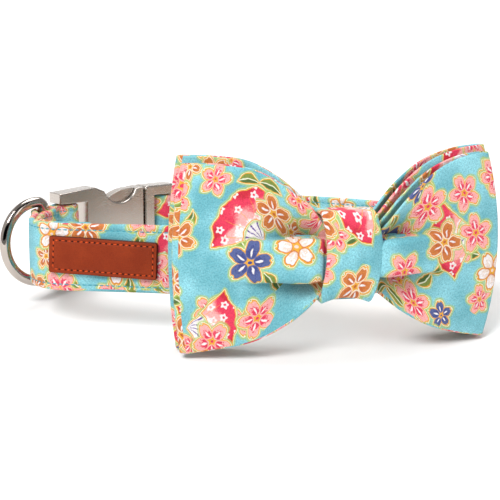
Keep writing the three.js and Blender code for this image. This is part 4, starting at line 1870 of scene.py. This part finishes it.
@dataclass
class Knot:
    """The band of cloth wrapped over both bows."""

    maker: Maker
    shape: BowShape
    matrix: Matrix
    crown: float = 1.5
    drift: float = 2.3
    droop: float = 2.2
    corner: float = 2.6
    right_trim: float = 1.7
    ring_step: float = 0.9
    print_shift: tuple[float, float] = (150.5, 135.7)

    def _ring(self) -> np.ndarray:
        """Draws the knot's inner outline.

        Returns:
            Its points as depth and height, all the way round from the middle of the back.
        """
        trim = self.shape.top_trim
        size = (2 * self.shape.inner_half_depth, 2 * self.shape.inner_half_height - trim)
        outline = rounded_outline(size, self.corner, 8) - np.array((0, trim / 2))
        ring = []
        for start, end in zip(outline, np.roll(outline, -1, axis=0)):
            steps = max(round(math.dist(start, end) / self.ring_step), 1)
            ring += [start + (end - start) * step / steps for step in range(steps)]
        back = max(range(len(ring)), key=lambda index: ring[index][0] - abs(ring[index][1]) * 0.1)
        return np.array(ring[back:] + ring[: back + 1])

    def build(self, finish: bpy.types.Material) -> bpy.types.Object:
        """Makes the knot.

        Args:
            finish: The printed cotton.

        Returns:
            The knot.
        """
        ring = self._ring()
        outs = outs_round(ring)
        across = np.linspace(-1, 1, 25)
        lip = [math.pi * step / 6 for step in range(1, 6)]
        wall = self.shape.knot_wall
        rising, falling = wall / 2 - np.cos(lip) * wall / 2, wall / 2 + np.cos(lip) * wall / 2
        xs = np.concatenate([across[12::-1], -np.ones(5), across, np.ones(5), across[:11:-1]])
        lifts = np.concatenate([np.zeros(13), rising, np.full(25, wall), falling, np.zeros(13)])
        lips = np.concatenate([np.zeros(13), -np.sin(lip), np.zeros(25), np.sin(lip), np.zeros(13)])
        lips = lips * wall / 2
        half = self.shape.knot_width / 2
        spots = np.zeros((len(ring), len(xs), 3))
        for index, ((depth, height), out) in enumerate(zip(ring, outs)):
            tall = height / self.shape.inner_half_height
            front = max(-out[0], 0.0) * (1 - min(abs(tall), 1.0) ** 2)
            outer = lifts / wall
            pleat = 0.22 * np.cos(xs * 9.5 + 0.8 * tall) * (1 - xs**2) * outer
            crown = self.crown * front * (1 - xs**2) * outer + pleat * front
            drift = self.drift * (1 - tall**2) - 0.9
            under = max(-out[1], 0.0)
            trim = self.right_trim * (1 + xs) / 2 * (1 + 0.4 * abs(tall))
            spots[index, :, 0] = xs * half * (1 - 0.05 * under) + lips + drift - trim
            spots[index, :, 1] = depth + out[0] * lifts - crown
            arch = self.droop * under * (xs**2 * 0.85 - 0.05) * outer
            spots[index, :, 2] = height + out[1] * lifts - arch
        lengths, round_ = runs(ring), runs(np.stack([xs * half, lifts], axis=1))
        cloth = flat_cloth(round_[None, :], lengths[:, None], self.print_shift)
        piece = self.maker.woven("knot_cloth", moved(spots, self.matrix), cloth, finish)
        return piece


@dataclass
class Keeper:
    """The elastic that holds the knot on the strap."""

    maker: Maker
    route: Route
    shape: BowShape
    width: float = 10.0

    def build(self, finish: bpy.types.Material) -> bpy.types.Object:
        """Makes the keeper.

        Args:
            finish: The elastic.

        Returns:
            The keeper.
        """
        shape = self.shape
        size = (STRAP_LAYER + 2 * shape.keeper_clearance, STRAP_WIDTH + 2 * shape.keeper_clearance)
        inner = rounded_outline(size, 0.5, 4)
        inner = np.vstack([inner, inner[:1]])
        outs = outs_round(inner)
        across = np.linspace(-1, 1, 13)
        lip = [math.pi * step / 6 for step in range(1, 6)]
        wall = shape.keeper_wall
        xs = np.concatenate([across, np.ones(5), across[::-1], -np.ones(5), across[:1]]) * self.width / 2
        falling, rising = wall / 2 + np.cos(lip) * wall / 2, wall / 2 - np.cos(lip) * wall / 2
        lifts = np.concatenate([np.full(13, wall), falling, np.zeros(13), rising, [wall]])
        spots = np.zeros((len(inner), len(xs), 3))
        spots[:, :, 0] = xs[None, :]
        spots[:, :, 1] = inner[:, :1] + outs[:, :1] * lifts[None, :]
        spots[:, :, 2] = inner[:, 1:] + outs[:, 1:] * lifts[None, :]
        here = self.route.at(shape.place_on(self.route))
        middle = here.point + here.out * (STRAP_LAYER / 2)
        turn = math.atan2(here.tangent.y, here.tangent.x)
        stand = Matrix.Translation(middle) @ Matrix.Rotation(turn, 4, "Z")
        lengths = runs(inner)
        cloth = flat_cloth(lengths[:, None], xs[None, :])
        piece = self.maker.woven("keeper_elastic", moved(spots, stand), cloth, finish)
        self.width * MILLIMETRE
        return piece


@dataclass
class Ring:
    """The D ring of round wire, whose bar lies in the strap."""

    maker: Maker
    route: Route
    inner_height: float = 26.8
    reach: float = 16.6
    corner: float = 2.7
    swing: float = math.radians(36)
    steps: int = 24

    def _path(self) -> np.ndarray:
        """Draws the wire's middle.

        Returns:
            Its points as reach and height, all the way round.
        """
        half, corner = (self.inner_height + RING_WIRE) / 2, self.corner
        turns = np.linspace(math.pi, math.pi / 2, 9)
        top = [(corner * (1 + math.cos(turn)), half - corner * (1 - math.sin(turn))) for turn in turns]
        turns = np.linspace(math.pi / 2, -math.pi / 2, 81)[1:-1]
        bow = [(corner + (self.reach - corner) * math.cos(turn), half * math.sin(turn)) for turn in turns]
        foot = [(reach, -height) for reach, height in reversed(top)]
        return np.array([*top, *bow, *foot, top[0]])

    def build(self, finish: bpy.types.Material) -> bpy.types.Object:
        """Makes the ring.

        Args:
            finish: The bright nickel.

        Returns:
            The ring.
        """
        path = self._path()
        ways = ways_round(path)
        turns = np.linspace(0, 2 * math.pi, self.steps + 1)
        across, deep = np.cos(turns) * RING_WIRE / 2, np.sin(turns) * RING_WIRE / 2
        heading = math.pi + self.swing
        out = Vector((math.cos(heading), math.sin(heading)))
        side = Vector((-out.y, out.x))
        reach = path[:, :1] - ways[:, 1:] * across[None, :]
        spots = np.zeros((len(path), len(turns), 3))
        spots[:, :, 0] = self.route.ring_bar.x + reach * out.x + deep[None, :] * side.x
        spots[:, :, 1] = self.route.ring_bar.y + reach * out.y + deep[None, :] * side.y
        spots[:, :, 2] = path[:, 1:] + ways[:, :1] * across[None, :]
        return self.maker.woven("ring_wire", spots, spots[:, :, :2], finish)


@dataclass
class Casting:
    """A cast part of the buckle: the CAD part with its triangles joined and its edges broken."""

    maker: Maker
    edge: float = 0.24
    sharp: float = math.radians(40)
    flat: float = math.radians(1)
    weld: float = 2e-5
    sliver: float = 1e-5

    def build(self, name: str, node: bpy.types.Object, finish: bpy.types.Material) -> bpy.types.Object:
        """Makes the part.

        Args:
            name: The piece's name.
            node: The CAD node.
            finish: The satin alloy.

        Returns:
            The part.
        """
        mesh = bmesh.new()
        mesh.from_mesh(node.data)
        bmesh.ops.transform(mesh, matrix=node.matrix_world, verts=mesh.verts)
        bmesh.ops.remove_doubles(mesh, verts=mesh.verts, dist=self.weld)
        bmesh.ops.dissolve_limit(mesh, angle_limit=self.flat, verts=mesh.verts, edges=mesh.edges)
        bmesh.ops.recalc_face_normals(mesh, faces=mesh.faces)
        rims = [edge for edge in mesh.edges if edge.is_manifold and edge.calc_face_angle() > self.sharp]
        bmesh.ops.bevel(
            mesh,
            geom=rims,
            offset=self.edge * MILLIMETRE,
            segments=2,
            profile=0.5,
            affect="EDGES",
            material=-1,
            clamp_overlap=False,
        )
        bmesh.ops.dissolve_degenerate(mesh, dist=self.sliver, edges=mesh.edges)
        piece = self.maker.finish(name, mesh, finish)
        even = piece.modifiers.new("even shading", "WEIGHTED_NORMAL")
        even.weight = 100
        return piece


# The studio.


@dataclass
class Studio:
    """A pale floor, soft lights and the camera."""

    worn: Worn
    distance: float = 492.0
    elevation: float = math.radians(9.75)
    drop: float = 3.1
    focal_px: float = 1265.0
    image_px: int = 500
    sensor: float = 36.0
    floor_half: float = 6.0
    dome_radius: float = 5.8

    def camera(self) -> None:
        """Stands the camera before the collar."""
        data = bpy.data.cameras.new("camera")
        data.sensor_width = self.sensor
        data.lens = self.sensor * self.focal_px / self.image_px
        data.clip_end = 20
        camera = bpy.data.objects.new("camera", data)
        bpy.context.scene.collection.objects.link(camera)
        back = Vector((0, -math.cos(self.elevation), math.sin(self.elevation)))
        up = Vector((0, math.sin(self.elevation), math.cos(self.elevation)))
        stand = self.worn.point(back * self.distance)
        target = self.worn.point(up * -self.drop)
        turn = self.worn.matrix.to_3x3().normalized() @ up
        ahead = (target - stand).normalized()
        side = ahead.cross(turn).normalized()
        axes = Matrix((side, side.cross(ahead), -ahead)).transposed().to_4x4()
        camera.matrix_world = Matrix.Translation(stand) @ axes
        bpy.context.scene.camera = camera

    def floor(self, finish: bpy.types.Material) -> None:
        """Lays the floor.

        Args:
            finish: The pale floor.
        """
        mesh = bmesh.new()
        bmesh.ops.create_grid(mesh, x_segments=4, y_segments=4, size=self.floor_half)
        data = bpy.data.meshes.new("floor")
        mesh.to_mesh(data)
        mesh.free()
        data.materials.append(finish)
        floor = bpy.data.objects.new("floor", data)
        bpy.context.scene.collection.objects.link(floor)

    def _light(self, name: str, spot: tuple[float, float, float], size: float, power: float) -> None:
        """Hangs one square light that faces the collar.

        Args:
            name: The light's name.
            spot: Where it hangs, in metres.
            size: Its side.
            power: Its power in watts.
        """
        data = bpy.data.lights.new(name, "AREA")
        data.size = size
        data.energy = power
        light = bpy.data.objects.new(name, data)
        bpy.context.scene.collection.objects.link(light)
        light.location = spot
        light.rotation_euler = (-Vector(spot)).to_track_quat("-Z", "Y").to_euler()

    def _shining(self, name: str, mesh: bmesh.types.BMesh, glow: float) -> bpy.types.Object:
        """Makes a piece of the studio that shines and casts no shade.

        Args:
            name: Its name.
            mesh: Its bmesh, which is freed.
            glow: How brightly it shines.

        Returns:
            The piece, which no ray sees yet but the camera's and the metal's.
        """
        data = bpy.data.meshes.new(name)
        mesh.to_mesh(data)
        mesh.free()
        graph = Graph(name)
        mottle = graph.noise(graph.place(), 3, 1.0)
        graph.shader.inputs["Emission Strength"].default_value = glow
        graph.shader.inputs["Specular IOR Level"].default_value = 0.0
        shine = graph.paint((0.96, 0.96, 0.96), (1.0, 1.0, 1.0), mottle)
        data.materials.append(graph.close(base_color=(0.0, 0.0, 0.0), roughness=1.0, emission_color=shine))
        piece = bpy.data.objects.new(name, data)
        bpy.context.scene.collection.objects.link(piece)
        piece.visible_diffuse = piece.visible_shadow = False
        piece.visible_transmission = piece.visible_volume_scatter = False
        return piece

    def _card(
        self, name: str, spot: tuple[float, float, float], size: tuple[float, float], glow: float
    ) -> None:
        """Stands a card that only the metal mirrors.

        Args:
            name: The card's name.
            spot: Its middle, in metres; it faces the collar.
            size: Its width and height.
            glow: How brightly it shines.
        """
        mesh = bmesh.new()
        bmesh.ops.create_grid(mesh, x_segments=1, y_segments=1, size=0.5)
        turn = Vector(spot).to_track_quat("Z", "Y").to_matrix().to_4x4()
        sizes = Matrix.Diagonal((*size, 1, 1))
        bmesh.ops.transform(mesh, matrix=Matrix.Translation(spot) @ turn @ sizes, verts=mesh.verts)
        self._shining(name, mesh, glow).visible_camera = False

    def backdrop(self) -> None:
        """Closes the room with a white dome that only the camera sees."""
        mesh = bmesh.new()
        bmesh.ops.create_uvsphere(mesh, u_segments=32, v_segments=16, radius=self.dome_radius)
        geometry = mesh.verts[:] + mesh.edges[:] + mesh.faces[:]
        level = {"plane_co": (0, 0, -0.01), "plane_no": (0, 0, 1)}
        bmesh.ops.bisect_plane(mesh, geom=geometry, dist=1e-5, clear_inner=True, **level)
        self._shining("backdrop", mesh, 1.05).visible_glossy = False

    def cards(self) -> None:
        """Stands the cards: white at both sides, black behind the camera."""
        self._card("left card", (-1.1, 0.1, 0.55), (2.0, 1.0), 0.6)
        self._card("right card", (1.2, -0.1, 0.5), (2.0, 1.0), 0.34)
        self._card("back card", (0.0, 1.3, 0.42), (2.2, 0.8), 1.0)
        self._card("low dark card", (-0.25, -0.95, 0.38), (1.3, 0.5), 0.0)
        self._card("high dark card", (0.1, -0.6, 0.95), (1.3, 0.45), 0.0)

    def lights(self) -> None:
        """Hangs the lights and sets the room's own light."""
        self._light("key light", (-0.6, -0.9, 1.3), 0.7, 26.0)
        self._light("fill light", (1.2, -0.9, 0.7), 0.9, 6.0)
        self._light("top light", (0.1, 0.5, 1.5), 1.0, 14.0)
        world = bpy.data.worlds.new("room")
        world.use_nodes = True
        shade = world.node_tree.nodes["Background"]
        shade.inputs["Color"].default_value = (1, 1, 1, 1)
        shade.inputs["Strength"].default_value = 0.3
        bpy.context.scene.world = world
        bpy.context.scene.view_settings.view_transform = "Standard"


# The collar.


class Collar:
    """The whole collar, built sub-assembly by sub-assembly."""

    def __init__(self) -> None:
        """Lays out the frame that every piece is built in."""
        self.route = Route()
        self.worn = Worn(self.route)
        self.maker = Maker(self.worn)
        self.finishes = Finishes()
        self.bow_shape = BowShape()
        self.bow_matrix = self.bow_shape.frame_on(self.route)

    def _dress(self, piece: bpy.types.Object, body: Body, slot: Slot, *nodes: str) -> None:
        """Ties a piece to its body and hides the nodes that it stands for.

        Args:
            piece: The piece.
            body: The body that it rides on.
            slot: Its material slot; not used.
            nodes: The CAD nodes that it replaces.
        """
        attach(piece, body.value)
        if nodes:
            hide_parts(*nodes)
        log.info("%s: %d faces", piece.name, len(piece.data.polygons))

    def strap(self) -> None:
        """Builds the strap and its stitches."""
        strap = Strap(self.maker, self.route)
        self._dress(strap.build(self.finishes.cotton), Body.COLLAR, Slot.COTTON, "collar_strap")
        stitches = strap.sew(self.finishes.teal_thread, self.bow_shape.place_on(self.route))
        self._dress(stitches, Body.COLLAR, Slot.COTTON)

    def patch(self) -> None:
        """Builds the leather patch and its stitches."""
        patch = Patch(self.maker, self.route)
        self._dress(patch.build(self.finishes.leather), Body.COLLAR, Slot.LEATHER, "leather_patch")
        for piece in patch.sew(self.finishes.rust_thread, self.finishes.painted_hole_shade):
            self._dress(piece, Body.COLLAR, Slot.LEATHER)

    def bow(self) -> None:
        """Builds both bows, the knot and the keeper."""
        shared = (self.maker, self.bow_shape, self.bow_matrix)
        front = Bow(
            *shared,
            name="bow_front_cloth",
            rear=False,
            height=67.0,
            overhang=0.0,
            outer_fold=1.0,
            inner_fold=0.8,
            rise=0.0,
            seed=2.3,
            print_shift=(2.0, 250.0),
        )
        rear = Bow(
            *shared,
            name="bow_rear_cloth",
            rear=True,
            height=69.4,
            overhang=0.4,
            outer_fold=0.62,
            inner_fold=0.46,
            rise=0.9,
            seed=7.9,
            print_shift=(401.0, 155.0),
        )
        for maker, node in ((front, "bow_front"), (rear, "bow_rear"), (Knot(*shared), "bow_knot")):
            self._dress(maker.build(self.finishes.cotton), Body.COLLAR, Slot.COTTON, node)
        keeper = Keeper(self.maker, self.route, self.bow_shape)
        self._dress(keeper.build(self.finishes.elastic), Body.COLLAR, Slot.ELASTIC, "bow_keeper")

    def metal(self) -> None:
        """Builds the buckle's two parts and the ring."""
        casting, alloy = Casting(self.maker), self.finishes.alloy
        for name, node in (("socket_casting", "buckle_socket"), ("plug_casting", "buckle_plug")):
            self._dress(casting.build(name, frame["nodes"][node], alloy), Body.COLLAR, Slot.ALLOY, node)
        ring = Ring(self.maker, self.route).build(self.finishes.nickel)
        self._dress(ring, Body.RING, Slot.NICKEL, "d_ring")


def main() -> None:
    """Builds the collar in its studio."""
    collar = Collar()
    studio = Studio(collar.worn)
    studio.camera()
    collar.strap()
    collar.patch()
    collar.bow()
    collar.metal()
    studio.floor(collar.finishes.floor)
    studio.backdrop()
    studio.cards()
    studio.lights()
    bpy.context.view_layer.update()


if __name__ == "__main__":
    main()
